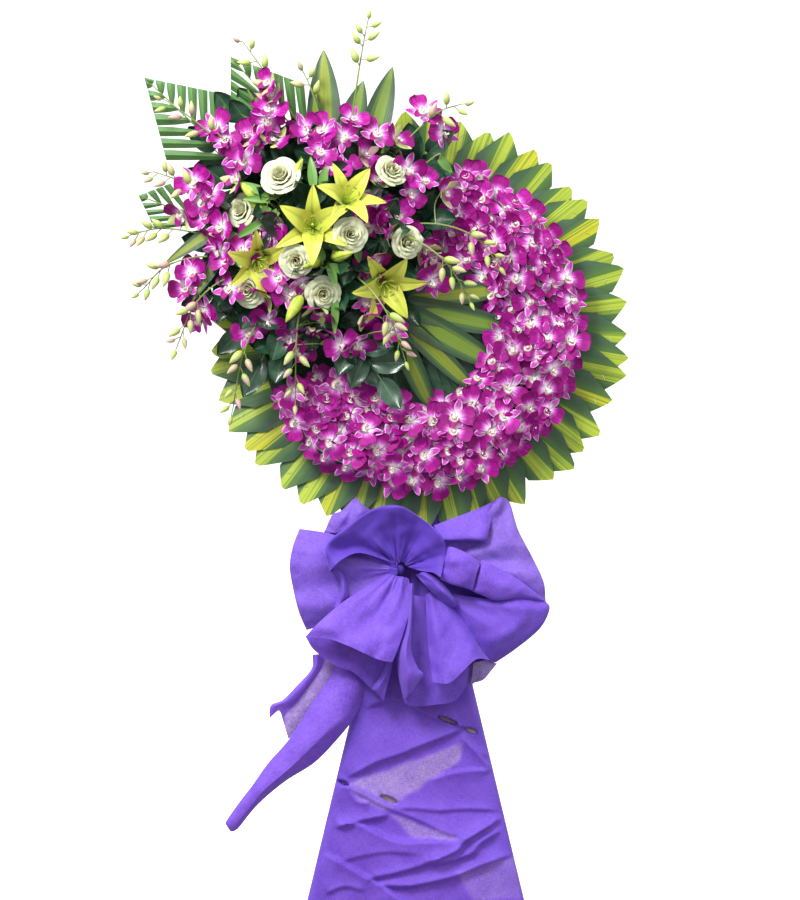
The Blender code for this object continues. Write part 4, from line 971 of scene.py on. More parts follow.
filling = Gathered()
for end in FILLERS:
    leafy_twig(filling, Vector(end) / 1000 - outward(FILLER_SINK), FILLER_LEAVES, dice, FILLER_SIZE)
for angle in MIDDLE_ANGLES:
    foot = Vector(MIDDLE_FOOT) + outward(dice.uniform(0, 0.010))
    tip = turned_by(math.radians(angle + dice.uniform(-4, 4))) * MIDDLE_REACH + outward(MIDDLE_TIP)
    broad = strap_leaf((tip - foot).length, dice.uniform(*MIDDLE_HALF))
    filling.add(broad, along_line(foot, tip - foot), tone=dice.random() * 5)
filling.piece("glossy_filling", [GLOSSY, STEM], "dark_leaf")


# Fourteen stems of dendrobium fan out of the spray, with open florets along them and closed buds at their
# ends. The buds are pale green with a pink flush, and each hangs on its own thin neck.

# Each stem's tip in millimetres, how far it was lifted clear of its neighbours, the sag of its bend, its buds
ORCHID_STEMS = (
    (-91, 564, 122, 30, 0.02, 7), (-325, 530, 96, 0, 0.01, 5), (-470, 420, 100, 0, 0.02, 7),
    (-492, 286, 96, 0, 0.02, 7), (-528, 170, 99, -5, 0.03, 8), (-512, 66, 102, 10, 0.05, 8),
    (-446, -36, 106, 10, 0.07, 8), (-344, -160, 104, 0, 0.09, 8), (-226, -140, 118, 0, 0.09, 6),
    (-24, -58, 168, 50, 0.05, 8), (96, 50, 187, 65, 0.05, 8), (150, 118, 126, 0, 0.05, 6),
    (84, 412, 112, 0, 0.04, 5), (-210, 470, 100, 0, 0.02, 4))
# Where the open florets of these stems lie, in millimetres
SPRAY_FLORETS = (
    (-376, 367), (-358, 342), (-323, 305), (-339, 317), (-276, 448), (-270, 423), (-280, 380), (-274, 398),
    (-264, 341), (-298, 341), (-314, 349), (-383, 244), (-400, 232), (-437, 206), (-396, 201), (-363, 180),
    (-377, 158), (-296, 167), (-273, 156), (-257, 185), (-367, 136), (-355, 117), (-412, 104), (-431, 67),
    (-421, 96),
    (-396, 24), (-404, 8), (-347, 65), (-278, 4), (-257, 84), (-237, 55), (-281, 54), (-257, 55), (-314, -15),
    (-233, -29), (-197, -9), (-168, -13), (-140, -41), (-111, -37), (-46, -13), (-218, -53), (-176, 361),
    (-201, 357),
    (-136, 349), (-99, 314), (-180, 320), (-164, 304), (-72, 265), (-87, 275), (-74, 353), (-38, 341),
    (-152, 287),
    (-127, 287), (-74, 222), (-87, 177), (-70, 189), (-78, 122), (-91, 104), (-91, 40), (-95, 15), (-16, 288),
    (14, 266), (-9, 243), (51, 246), (-38, 200), (-62, 206), (27, 123), (29, 81), (14, 142), (-18, 162),
    (14, 397),
    (51, 358), (-209, 366), (-120, 382), (-244, 116), (-212, 76), (-180, 28), (-416, 264), (-323, 137),
    (-107, 201),
    (-51, 162), (-335, 268),
)
SPRAY_MIDDLE = (-0.175, 0.165)
ORCHID_STALK = (0.0024, 0.0010)
FLORET_NECK = 0.0011
BUD_NECK = 0.0010
BUD_HANGS = 0.012
# How long the first bud of a stem is, how much shorter the last one, and how large the florets may be
BUD_LONG = 0.031
BUD_SHRINKS = 0.014
SPRAY_FLORET = (0.030, 0.038)
# What kinds of floret the spray has; those of the last kind are half-open buds, which nod outwards
SPRAY_KINDS = (0, 1, 2, 3, 4, 5, 6, 7, 7)
NODDING = 7

BUD = BladeSkin("orchid_bud", 0.5, Subsurface_Weight=0.1, Subsurface_Scale=0.004)
green = BUD.blend(BUD.lines(3.0, 60.0), (0.40, 0.50, 0.12), (0.62, 0.65, 0.30))
green = BUD.blend(BUD.step(BUD.along, 0.022, 0.004), green, (0.34, 0.46, 0.09))
flush = BUD.step(BUD.patches(0.012, BUD.tone) + BUD.own_share(), 0.9, 1.7)
BUD.colour(BUD.blend(flush, green, (0.56, 0.22, 0.40), 0.70))

ORCHID_STEM = ORCHID + [BUD, STEM]
BUD_FINISH, STEM_FINISH = 4, 5


def bud_shape(length, width):
    """A closed bud along local y: pointed, fuller towards its foot, with a short spur behind."""
    share = np.array([0, 0.06, 0.2, 0.4, 0.6, 0.8, 0.93, 1.0])
    swell = np.array([0.25, 0.62, 0.95, 1.0, 0.86, 0.55, 0.26, 0.04])
    run = np.stack([0 * share, share * length, 0.10 * length * np.sin(math.pi * share)], -1)
    return tube(run, width * swell, 8)


def dome(u, v, low=0.098, rise=0.066):
    """How far the face of the spray stands out at a place."""
    return low + rise * math.exp(-(math.dist((u, v), SPRAY_MIDDLE) / 0.20) ** 2)


def orchid_run(end, sag, lift):
    """The curve of a stem from the foam to its tip."""
    (sunk, start), direction = rooted(end + Vector((0, sag, 0.06 + lift)))
    bend = (start + end) / 2 + Vector((0, sag, 0.02 + lift)) + direction * 0.05
    arc = [(1 - t) ** 2 * start + 2 * t * (1 - t) * bend + t * t * end for t in (0, 1 / 3, 2 / 3, 1)]
    return smooth_run([sunk, *arc], 6)


def hang_bud(gathered, foot, way, length, dice):
    """A closed bud on its own thin neck."""
    start = foot + way * BUD_HANGS + Vector((0, -0.004, 0))
    neck = smooth_run([foot, foot.lerp(start, 0.6) + way * 0.003, start], 3)
    gathered.add(tube(neck, BUD_NECK, 5), finish=STEM_FINISH)
    gathered.add(bud_shape(length, length * 0.23), along_line(start, way), dice.random(), BUD_FINISH)


def hang_buds(gathered, run, buds, dice):
    """Buds set alternately along the last third of a stem, smaller towards its tip."""
    way_on = Vector(run[-1] - run[len(run) // 2]).normalized()
    across = way_on.cross(outward(1)).normalized()
    side = dice.choice((-1, 1))
    for i in range(buds):
        share = 0.66 + 0.34 * i / (buds - 1)
        foot = Vector(run[round(share * (len(run) - 1))])
        side = 0 if i == buds - 1 else (1 if side < 0 else -1)
        way = way_on * dice.uniform(0.6, 1.1) + across * side * dice.uniform(0.5, 1.0)
        way += Vector((0, dice.uniform(-0.5, 0.0), dice.uniform(0.1, 0.6)))
        length = BUD_LONG - BUD_SHRINKS * i / buds + dice.uniform(-0.002, 0.002)
        hang_bud(gathered, foot, way.normalized(), length, dice)


def nearest_on(run, u, v):
    """How far the open part of a stem passes from a place, as the viewer sees it, and its point there."""
    run = run[6:-3]
    away = np.hypot(run[:, 0] - u, run[:, 1] - v)
    return away.min(), Vector(run[int(np.argmin(away))])


dice = random.Random(23)
stems = [Gathered() for _ in ORCHID_STEMS]
runs = []
for stem, (*end, lift, sag, buds) in zip(stems, ORCHID_STEMS):
    run = orchid_run(Vector(end) / 1000, sag, lift / 1000)
    stem.add(tube(run, np.linspace(*ORCHID_STALK, len(run))), tone=dice.random(), finish=STEM_FINISH)
    hang_buds(stem, run, buds, dice)
    runs.append(run)
for u, v in SPRAY_FLORETS:
    u, v = u / 1000, v / 1000
    at = Vector((u, v, dome(u, v) + dice.uniform(-0.012, 0.014)))
    away, on_stems = zip(*(nearest_on(run, u, v) for run in runs))
    number = int(np.argmin(away))
    out = Vector((u - SPRAY_MIDDLE[0], v - SPRAY_MIDDLE[1], 0))
    facing = out.normalized() * min(out.length / 0.35, 1) * 0.75 + outward(1)
    facing += Vector((dice.uniform(-0.5, 0.5), dice.uniform(-0.6, 0.35), 0))
    kind = dice.choice(SPRAY_KINDS)
    if kind == NODDING:
        facing += out.normalized() * 0.9 + Vector((0, -0.5, 0))
    behind = at - facing.normalized() * 0.006
    bent = on_stems[number].lerp(behind, 0.6) - facing.normalized() * 0.010
    neck = smooth_run([on_stems[number], bent, behind], 4)
    stems[number].add(tube(neck, FLORET_NECK, 5), finish=STEM_FINISH)
    sepals = BUD_FINISH if kind == NODDING else SEPAL_FINISH
    spin, size = dice.uniform(-1.1, 1.1), dice.uniform(*SPRAY_FLORET)
    add_floret(stems[number], at, facing, spin, size, dice.random() * 9, kind, sepals)
for number, stem in enumerate(stems, 1):
    stem.piece(f"dendrobium_{number:02d}", ORCHID_STEM, "orchid", [f"orchid_stem_{number:02d}"])


# Eight cream roses sit in the spray. Each is a closed heart with petals spiralling round it, opening wider
# and rolling back at their rims, over five small green sepals.

# Where each stands in millimetres, the way it faces, and its size
ROSES = ((-249, 267, 152, (-0.25, 0.45, 1), 1.36), (-53, 278, 140, (0.55, 0.55, 1), 1.13),
         (-319, 210, 114, (-0.8, 0.2, 1), 1.07), (-125, 164, 177, (0.2, 0.0, 1), 1.07),
         (-222, 117, 168, (-0.1, -0.15, 1), 1.07), (-308, 65, 128, (-0.4, -0.2, 1), 1.07),
         (-175, 57, 146, (0.1, -0.2, 1), 1.07), (-22, 152, 142, (0.4, -0.05, 1), 1.13))
# The whorls of a rose from its heart outwards: how far open, how many petals, and half a petal's angle
ROSE_WHORLS = ((0.0, 1, 2.6), (0.12, 3, 1.25), (0.29, 4, 1.0), (0.52, 5, 0.86), (0.77, 5, 0.82),
               (1.0, 5, 0.76))
ROSE_STEM = 0.0024
ROSE_SUNK = -0.004
ROSE_DEEP = 0.030
# The sepals under a rose: the turn from one to the next, how each is set from the axis, and its lean
SEPAL_TURN = 1.257
SEPAL_AT = (0, 0.003, -0.006)
SEPAL_LEAN = 0.35

ROSE_PETAL = BladeSkin("rose_petal", 0.6, Subsurface_Weight=0.15, Subsurface_Scale=0.005,
                       Specular_IOR_Level=0.3)
fine = ROSE_PETAL.lines(7.0, 1.0)
# Greener and darker towards each petal's foot: partly the petals' own green base, partly painted shade deep
# in the rose.
rim = ROSE_PETAL.step(ROSE_PETAL.along, 0.86, 0.30)
cream = ROSE_PETAL.blend(rim, (0.66, 0.67, 0.46), (0.58, 0.61, 0.32))
cream = ROSE_PETAL.blend(fine, cream, (0.60, 0.62, 0.37), 0.35)
blush = ROSE_PETAL.step(ROSE_PETAL.patches(0.010, ROSE_PETAL.tone) + ROSE_PETAL.own_share(), 1.35, 1.9)
ROSE_PETAL.colour(ROSE_PETAL.blend(blush, cream, (0.62, 0.42, 0.38), 0.22))
ROSE_PETAL.relief(fine, 0.0005)


def rose_petal(opened, half, dice):
    """A petal wrapped round the rose's axis: upright at the heart, wider and rolled back outside."""
    along, across = blade_net(11, 11)
    around = across * half * (0.45 + 0.55 * np.sqrt(along))
    foot, rim = 0.0030 + 0.004 * opened, 0.0036 + 0.0240 * opened
    radius = foot + (rim - foot) * along ** (0.70 + 0.50 * opened) + 0.0014 * across * along
    rolled = np.clip((along - 0.70) / 0.30, 0, 1) ** 2 * (1 - 0.5 * across ** 2)
    radius = radius + (0.0005 + 0.0052 * opened) * rolled - 0.0011 * (1 - opened) * along ** 3
    rise = (0.034 - 0.013 * opened) * (along - 0.20 * np.abs(across) ** 2.4 * along ** 3)
    ruffle = 0.0009 * np.sin(5 * across + dice.uniform(0, 6)) * along ** 2
    rise = rise - (0.0005 + 0.0058 * opened) * rolled + ruffle
    grid = np.stack([radius * np.cos(around), radius * np.sin(around), rise], -1)
    return skinned(grid, across, along, 0.0006)


rose_sepal = blade(6, 5, 0.026, 0.004, tapered(0.4, 0.9), lambda across, along: 0.002 * across ** 2)
dice = random.Random(41)
for number, (*at, facing, size) in enumerate(ROSES, 1):
    at, facing = Vector(at) / 1000, Vector(facing).normalized()
    base = aimed(at, facing, 0.4, size)
    foot, _ = rooted(at - facing * ROSE_DEEP)
    run = smooth_run([*foot, at - facing * 0.012, at + facing * 0.004], 6)
    rose = Gathered().add(tube(run, ROSE_STEM, 8), finish=ON_STEM)
    turn = dice.uniform(0, 6)
    bloom = dice.uniform(0.80, 1.0)
    for opened, count, half in ROSE_WHORLS:
        turn += 0.6
        for i in range(count):
            spin = turn + math.tau * i / count + dice.uniform(-0.15, 0.15)
            placed = base @ Matrix.Translation((0, 0, ROSE_SUNK)) @ Matrix.Rotation(spin, 4, "Z")
            petal = rose_petal(bloom * opened + dice.uniform(-0.03, 0.03) * opened, half, dice)
            rose.add(petal, placed, tone=dice.random())
    for i in range(5):
        placed = base @ Matrix.Rotation(SEPAL_TURN * i, 4, "Z") @ Matrix.Translation(SEPAL_AT)
        rose.add(rose_sepal, placed @ Matrix.Rotation(SEPAL_LEAN, 4, "X"), finish=ON_STEM)
    rose.piece(f"cream_rose_{number}", [ROSE_PETAL, STEM], "rose", [f"rose_{number}"])


# Four yellow-green lilies and two forks of their buds. A lily has three narrow and three broad tepals, bent
# back at their tips, and a pistil among six stamens with dull olive anthers.

# Where each lily stands in millimetres, the way it faces, its turn in degrees, and its size
LILIES = ((-192, 180, 205, (0.0, 0.05, 1), 0, 1.0), (-121, 239, 209, (0.35, 0.45, 1), 20, 0.92),
          (-291, 109, 168, (0.25, -0.35, 1), 10, 0.92), (-52, 65, 160, (0.25, -0.40, 1), 36, 1.0))
# Where each fork parts, and the tips of its buds
LILY_BUDS = (((-268, 205, 128), ((-331, 264, 150), (-317, 232, 152), (-211, 306, 168))),
             ((-172, 120, 130), ((-243, 1, 176), (-116, 130, 196), (-212, 103, 192))))
LILY_BUD_LENGTH = 0.060
LILY_BUD_WIDTH = 0.0115
# Their leaves in millimetres: where each leaves its stem, and its tip
LILY_LEAVES = (
    (-273, 240, -334, 265), (-273, 230, -318, 233), (-269, 234, -233, 261), (-236, 249, -214, 302),
    (-192, 257, -196, 306), (-175, 257, -169, 290), (-277, 217, -289, 189), (-257, 209, -289, 177),
    (-232, 257, -217, 282), (-152, 136, -141, 155), (-160, 103, -150, 71), (-110, 144, -107, 115),
    (-175, 115, -179, 140), (-152, 43, -150, -14), (-167, 103, -127, 100), (-74, 83, -107, 59),
    (-313, 108, -338, 116), (-290, 189, -334, 161), (-257, 267, -290, 242), (-306, 422, -297, 398),
    (-360, 345, -343, 328), (43, 309, 68, 288),
)
# From the middle of an open lily back to its foot, and the radii of the stems
LILY_DEEP = 0.052
LILY_STEM = 0.0028
FORK_STEM = 0.0026
FORK_NECK = 0.0019
LEAF_NECK = 0.0014
LILY_LEAF_HALF = (0.0075, 0.0100)
# How a tepal of the outer and of the inner three is made: half its width, its set, and its lean in degrees
TEPALS = ((0.0155, 0.0, (45, 50)), (0.020, 0.007, (53, 58)))
TEPAL_LENGTH = 0.080

TEPAL = BladeSkin("lily_tepal", 0.5, Subsurface_Weight=0.15, Subsurface_Scale=0.005, Sheen_Weight=0.15)
fine, rib = TEPAL.lines(10.0, 1.0), TEPAL.by_middle(0.30, 0.02)
yellow = TEPAL.blend(fine, (0.50, 0.54, 0.035), (0.66, 0.66, 0.10))
yellow = TEPAL.blend(rib, yellow, (0.42, 0.56, 0.04), 0.55)
TEPAL.colour(TEPAL.blend(TEPAL.step(TEPAL.along, 0.42, 0.08), yellow, (0.34, 0.50, 0.03), 0.8))
TEPAL.relief(fine + rib * 1.5, -0.0006)

LILY_BUD = BladeSkin("lily_bud", 0.45)
seam = LILY_BUD.step(LILY_BUD.maths("PINGPONG", LILY_BUD.across * 1.5, 0.5), 0.16, 0.02)
yellow = LILY_BUD.blend(LILY_BUD.patches(0.012, LILY_BUD.tone), (0.36, 0.50, 0.04), (0.62, 0.68, 0.10))
LILY_BUD.colour(LILY_BUD.blend(seam, yellow, (0.20, 0.36, 0.03), 0.6))
LILY_BUD.relief(seam, -0.0012)

POLLEN = Skin("anther_pollen", 0.9)
POLLEN.colour(POLLEN.blend(POLLEN.patches(0.0015), (0.20, 0.15, 0.030), (0.36, 0.28, 0.06)))

LILY_LEAF = BladeSkin("lily_leaf", 0.38, Coat_Weight=0.15)
fine = LILY_LEAF.lines(9.0, 0.8)
green = LILY_LEAF.blend(fine, (0.07, 0.20, 0.03), (0.17, 0.36, 0.06))
green = LILY_LEAF.blend(LILY_LEAF.step(LILY_LEAF.along, 0.75, 1.0), green, (0.30, 0.44, 0.08))
LILY_LEAF.colour(LILY_LEAF.blend(LILY_LEAF.by_middle(0.12, 0.02), green, (0.06, 0.16, 0.03), 0.5))
LILY_LEAF.relief(fine, 0.0006)

LILY = [TEPAL, STEM, POLLEN, LILY_BUD]
POLLEN_FINISH, GREEN_FINISH = 2, 3
# How far the stamens spread, how high they and the pistil stand, and half an anther's length
STAMEN_SPREAD = 0.016
STAMEN_HIGH = 0.050
PISTIL_HIGH = 0.064
ANTHER_HALF = 0.0055


def tepal(width, back):
    size = TEPAL_LENGTH

    def rise(across, along):
        groove = 0.012 * size * np.exp(-(across / 0.12) ** 2)
        trough = 0.10 * size * np.abs(across) ** 1.6 * (1 - along) - groove
        ruffle = 0.012 * size * np.sin(11 * along) * across
        return trough - back * size * np.clip(along - 0.45, 0, 1) ** 1.9 + ruffle
    return blade(14, 9, size, width, tapered(0.55, 0.75, 0.10), rise, 0.0009)


def add_stamen(lily, base, i):
    """One of the six stamens with its anther, or the pistil with its head in their middle."""
    pistil = i == 6
    reach = Vector() if pistil else turned_by(math.radians(60 * i + 30)) * STAMEN_SPREAD
    top = outward(PISTIL_HIGH if pistil else STAMEN_HIGH + 0.004 * (i % 2)) + reach
    run = smooth_run([outward(0.006) + reach * 0.12, outward(0.030) + reach * 0.45, top], 5)
    lily.add(tube(run, np.linspace(0.0013, 0.0008, len(run))), base, finish=GREEN_FINISH)
    if pistil:
        head = smooth_run([top, top + outward(0.002), top + outward(0.004)], 2)
        lily.add(tube(head, [0.0012, 0.0023, 0.0026, 0.0022, 0.0008], 8), base, finish=GREEN_FINISH)
        return
    way = turned_by(math.radians(60 * i + 120))
    anther = [top + way * share * ANTHER_HALF + outward(0.001) for share in (-1, -0.5, 0, 0.5, 1)]
    lily.add(tube(anther, [0.0006, 0.0015, 0.0017, 0.0015, 0.0006]), base, finish=POLLEN_FINISH)


dice = random.Random(3)
for number, (*at, facing, spin, size) in enumerate(LILIES, 1):
    at, facing = Vector(at) / 1000, Vector(facing).normalized()
    base = aimed(at, facing, math.radians(spin), size) @ Matrix.Translation((0, 0, -0.050))
    root = at - facing * LILY_DEEP * size
    foot, _ = rooted(root - facing * 0.015)
    lily = Gathered().add(tube(smooth_run([*foot, root + facing * 0.006], 6), LILY_STEM, 8), finish=ON_STEM)
    for i in range(6):
        half, inset, lean = TEPALS[i % 2]
        lean = math.radians(dice.uniform(*lean))
        placed = base @ Matrix.Rotation(math.radians(60 * i), 4, "Z") @ Matrix.Translation((0, 0.003, inset))
        made = tepal(half, dice.uniform(0.9, 1.2))
        lily.add(made, placed @ Matrix.Rotation(lean, 4, "X"), tone=dice.random())
    for i in range(7):
        add_stamen(lily, base, i)
    lily.piece(f"yellow_lily_{number}", LILY, "lily", [f"lily_{number}"])

for number, (fork, tips) in enumerate(LILY_BUDS, 1):
    fork = Vector(fork) / 1000
    buds = Gathered().add(tube(smooth_run([*rooted(fork)[0], fork], 5), FORK_STEM, 8), finish=ON_STEM)
    for tip in tips:
        tip = Vector(tip) / 1000
        way = (tip - fork).normalized()
        foot = tip - way * LILY_BUD_LENGTH
        bend = fork.lerp(foot, 0.5) + Vector((0, -0.002, 0))
        neck = smooth_run([fork - way * 0.002, bend, foot + way * 0.004], 5)
        buds.add(tube(neck, FORK_NECK, 8), finish=ON_STEM)
        closed = bud_shape(LILY_BUD_LENGTH, LILY_BUD_WIDTH)
        buds.add(closed, along_line(foot, way), dice.random(), GREEN_FINISH)
    buds.piece(f"lily_bud_fork_{number}", LILY, "lily", [f"lily_buds_{number}"])


def lily_leaf(reach, half, bend):
    """A narrow leaf with a shallow trough, a little longer than the way that it spans."""
    def rise(across, along):
        return bend * reach * along ** 2 + 0.22 * 0.009 * across ** 2
    return blade(12, 7, reach * 1.12, half, tapered(0.50, 0.80, 0.14), rise)


foliage = Gathered()
for *base, u, v in LILY_LEAVES:
    base = Vector((*base, 0)) / 1000
    base.z = dome(base.x, base.y) + 0.012
    way = Vector((u / 1000, v / 1000, base.z + dice.uniform(-0.012, 0.010))) - base
    run = smooth_run([*rooted(base)[0], base - way * 0.25, base + way * 0.06], 5)
    foliage.add(tube(run, LEAF_NECK), finish=ON_STEM)
    bend = dice.uniform(-0.30, -0.08)
    leaf = lily_leaf(way.length, dice.uniform(*LILY_LEAF_HALF), bend)
    foliage.add(leaf, along_line(base, way, (dice.uniform(-0.5, 0.5), 0.2, 1)), tone=dice.random() * 4)
foliage.piece("lily_leaves", [LILY_LEAF, STEM], "lily")


# The easel's front is wound with one width of thin violet non-woven cloth, which turns round the two front
# poles and is tucked into slanting folds. It is thin enough to show pale where it lies single, and the split
# laths show where it is tucked behind them.
WRAP_TOP = -0.335
WRAP_BOTTOM = -1.200
WRAP_FRONT = -0.0046
WRAP_BACK = -0.0373
WRAP_FLAP = 0.022
WRAP_TURN = 0.012
# Half the sheet's width is that of the poles times WRAP_SPREAD, plus WRAP_CLEAR, and WRAP_LEAST at least
WRAP_SPREAD = 1.027
WRAP_CLEAR = 0.015
WRAP_LEAST = 0.075
# How many points the sheet has from top to bottom and across its front
WRAP_ROWS = 290
WRAP_COLUMNS = 104
CLOTH_THICK = 0.0005
TUCK_SHARE = 1.45
WRAP_DEPTH = -0.30
# Each tuck in millimetres: how far it stands out, how far it fades (below its line where negative), its line
TUCKS = (
    (6, 30, ((-97, -726), (-72, -715), (-45, -710), (-21, -714), (6, -728), (45, -747), (83, -758),
             (116, -766))),
    (8, 28, ((-130, -856), (-103, -843), (-72, -827), (-33, -814), (6, -798), (49, -781), (89, -765))),
    (4, 12, ((-145, -868), (-99, -891), (-52, -915), (-13, -930), (21, -945), (56, -961), (99, -973))),
    (8, 16, ((-153, -952), (-110, -940), (-52, -929))),
    (9, -42, ((-153, -946), (-110, -949), (-87, -959), (-60, -973), (-33, -982), (2, -983), (45, -982),
              (82, -986))),
    (4, 12, ((-33, -916), (-2, -916), (45, -920), (103, -917), (159, -920))),
    (11, 14, ((14, -1019), (45, -1010), (80, -994), (89, -980), (122, -959), (161, -935))),
    (8, 12, ((21, -1021), (64, -1015), (103, -1002), (122, -982), (161, -958))),
    (8, 25, ((-95, -1050), (-52, -1041), (-13, -1031), (25, -1019))),
    (10, 18, ((-72, -1060), (-33, -1063), (6, -1060), (52, -1050), (83, -1041), (122, -1025), (180, -1004))),
    (9, -36, ((-174, -1004), (-134, -1027), (-95, -1050), (-64, -1068), (-33, -1089), (6, -1114))),
    (6, -12, ((85, -781), (99, -796), (118, -816), (142, -847))),
    (4, -8, ((89, -773), (111, -800), (136, -820))),
    (4, -14, ((29, -866), (64, -854), (103, -847), (142, -847))),
    (4, -8, ((-134, -870), (-126, -889), (-110, -905), (-87, -909))),
    (3, 20, ((-149, -1019), (-103, -1006), (-52, -998), (6, -1002))),
    (4, 15, ((-172, -1079), (-149, -1067), (-126, -1064), (-95, -1074))),
    (6, 20, ((-206, -1118), (-60, -1148), (110, -1128), (208, -1140))),
    (5, 16, ((-212, -1180), (0, -1170), (214, -1163))),
)
# Where it lies single, as corners in millimetres, and how pale it is there
SINGLE_LAYERS = ((((-130, -870), (89, -794), (85, -827), (-41, -909)), 0.85),
                 (((-130, -872), (-41, -914), (-56, -922), (-110, -905)), 0.45),
                 (((-48, -928), (87, -973), (60, -980), (-10, -971)), 0.8),
                 (((76, -1037), (192, -1006), (200, -1091), (107, -1091)), 0.35))
# Where the cloth is tucked behind a lath: along it from a to b, in millimetres
LATH_SLITS = (((40, -743), (80, -758)), ((94, -766), (116, -775)), ((-150, -865), (-126, -875)),
              ((-68, -893), (-34, -908)))


def line_distance(u, v, line):
    """How far points are from a line, positive above it where it runs right, and the share along it."""
    best = np.full(u.shape, 1e9)
    signed, share = np.zeros(u.shape), np.zeros(u.shape)
    for i, (a, b) in enumerate(zip(line, line[1:])):
        way = b - a
        along = np.clip(((u - a[0]) * way[0] + (v - a[1]) * way[1]) / math.hypot(*way) ** 2, 0, 1)
        away_u, away_v = u - a[0] - along * way[0], v - a[1] - along * way[1]
        distance = np.hypot(away_u, away_v)
        nearer = distance < best
        side = np.sign(way[0] * away_v - way[1] * away_u)
        best = np.where(nearer, distance, best)
        signed = np.where(nearer, side * distance, signed)
        share = np.where(nearer, (i + along) / (len(line) - 1), share)
    return signed, share


def tuck_height(u, v, height, reach, line):
    """One tuck: highest along its line, sharp on one side and fading on the other and towards its ends."""
    line = smooth_run([(x, y, 0) for x, y in line], 4)[:, :2]
    signed, share = line_distance(u, v, line)
    signed = signed * np.sign(reach)
    fade = np.clip(share * (1 - share) * 9, 0, 1) ** 0.7
    return height * fade * np.where(signed > 0, np.exp(-signed / abs(reach)), np.exp(-(signed / 4.6) ** 2))


def slit(u, v, a, b, radius, soft):
    """1 within a narrow pointed oval from a to b, and 0 beyond it."""
    signed, share = line_distance(u, v, [np.array(a, float), np.array(b, float)])
    return np.clip((radius * np.sqrt(4 * share * (1 - share)) - np.abs(signed)) / (2 * soft) + 0.3, 0, 1)


def between_corners(u, v, corners, soft):
    """1 inside a shape given by its corners, and 0 outside it."""
    inside = np.full(u.shape, 1e9)
    for a, b in zip(corners, corners[1:] + corners[:1]):
        length = math.hypot(b[0] - a[0], b[1] - a[1])
        inside = np.minimum(inside, ((b[1] - a[1]) * (u - a[0]) - (b[0] - a[0]) * (v - a[1])) / length)
    return np.clip(inside / soft + 0.5, 0, 1)


def crumple(grid, size, height):
    """Small uneven dents over a grid of points."""
    x, y, z = (grid / size).transpose(2, 0, 1)
    first = np.sin(1.7 * x + 2.1 * np.sin(1.3 * y + z)) * np.cos(1.1 * y + 1.3 * np.sin(0.9 * x + 0.7))
    second = np.sin(3.1 * y - 1.9 * np.sin(2.3 * x + 1.1)) * np.cos(2.9 * x + 0.6 * y)
    return height * (first + 0.45 * second)


def cloth_skin(grid, layers_and_shade=0.0, thick=CLOTH_THICK):
    """Closes a grid of points into a thin sheet, with places in metres across and along it."""
    rows, columns, _ = grid.shape
    skin = facing_of(grid) * thick / 2
    points = np.concatenate([(grid + skin).reshape(-1, 3), (grid - skin).reshape(-1, 3)])
    numbers = np.arange(rows * columns).reshape(rows, columns)
    quads = quads_of(numbers)
    rim = np.concatenate([numbers[0, :-1], numbers[:-1, -1], numbers[-1, :0:-1], numbers[:0:-1, 0]])
    on = np.roll(rim, -1)
    walls = np.stack([on, rim, rim + rows * columns, on + rows * columns], -1)
    across = np.linalg.norm(np.diff(grid, axis=1), axis=2)[rows * 2 // 3]
    along = np.linalg.norm(np.diff(grid, axis=0), axis=2)[:, columns // 2]
    place = np.zeros((rows, columns, 3))
    place[..., 0] = np.concatenate([[0], np.cumsum(across)])[None, :]
    place[..., 1] = np.concatenate([[0], np.cumsum(along)])[:, None]
    place[..., 2] = layers_and_shade
    places = np.tile(place.reshape(-1, 3), (2, 1))
    return points, [quads, quads[:, ::-1] + rows * columns, walls], places


# The cloth is a web of fibres pressed with a grid of dimples. Its tone says how single it lies, and below 0
# it also carries painted shade.
CLOTH = BladeSkin("violet_non_woven", 0.70, Sheen_Weight=0.12, Sheen_Roughness=0.45, Subsurface_Weight=0.06,
                  Subsurface_Scale=0.004)
layers_and_shade = CLOTH.tone
flat = CLOTH.add("CombineXYZ", {"X": CLOTH.across, "Y": CLOTH.along, "Z": 0.0})
fibres = []
for stretch in ((900.0, 90.0, 1.0), (90.0, 900.0, 1.0)):
    spread = CLOTH.add("Mapping", {"Vector": flat, "Scale": stretch})
    fibres.append(CLOTH.add("TexNoise", {"Vector": spread, "Scale": 1.0, "Detail": 2.0}, "Fac"))
web = (fibres[0] + fibres[1]) * 0.5
clouds = CLOTH.patches(0.035)
violet = CLOTH.blend(CLOTH.step(web, 0.38, 0.62), (0.105, 0.036, 0.40), (0.172, 0.070, 0.60))
violet = CLOTH.blend(clouds, violet, (0.215, 0.100, 0.64), 0.35)
# Below a tone of 0 the violet is deepened: partly for cloth lying double, and partly as painted shade in the
# bow's hollows and under its folds.
deep = CLOTH.blend(web, (0.050, 0.014, 0.30), (0.085, 0.026, 0.44))
violet = CLOTH.blend(CLOTH.maths("MULTIPLY", layers_and_shade, -1.0, clamp=True), violet, deep)
pale = CLOTH.blend(CLOTH.step(web, 0.36, 0.64), (0.185, 0.120, 0.36), (0.36, 0.26, 0.56))
shown = CLOTH.maths("MULTIPLY", layers_and_shade, clouds * 0.3 + 0.72, clamp=True)
CLOTH.colour(CLOTH.blend(shown, violet, pale))
dimples = CLOTH.add("TexVoronoi", {"Vector": flat, "Scale": 520.0}, "Distance")
CLOTH.relief(web + dimples, 0.0005, 0.5)

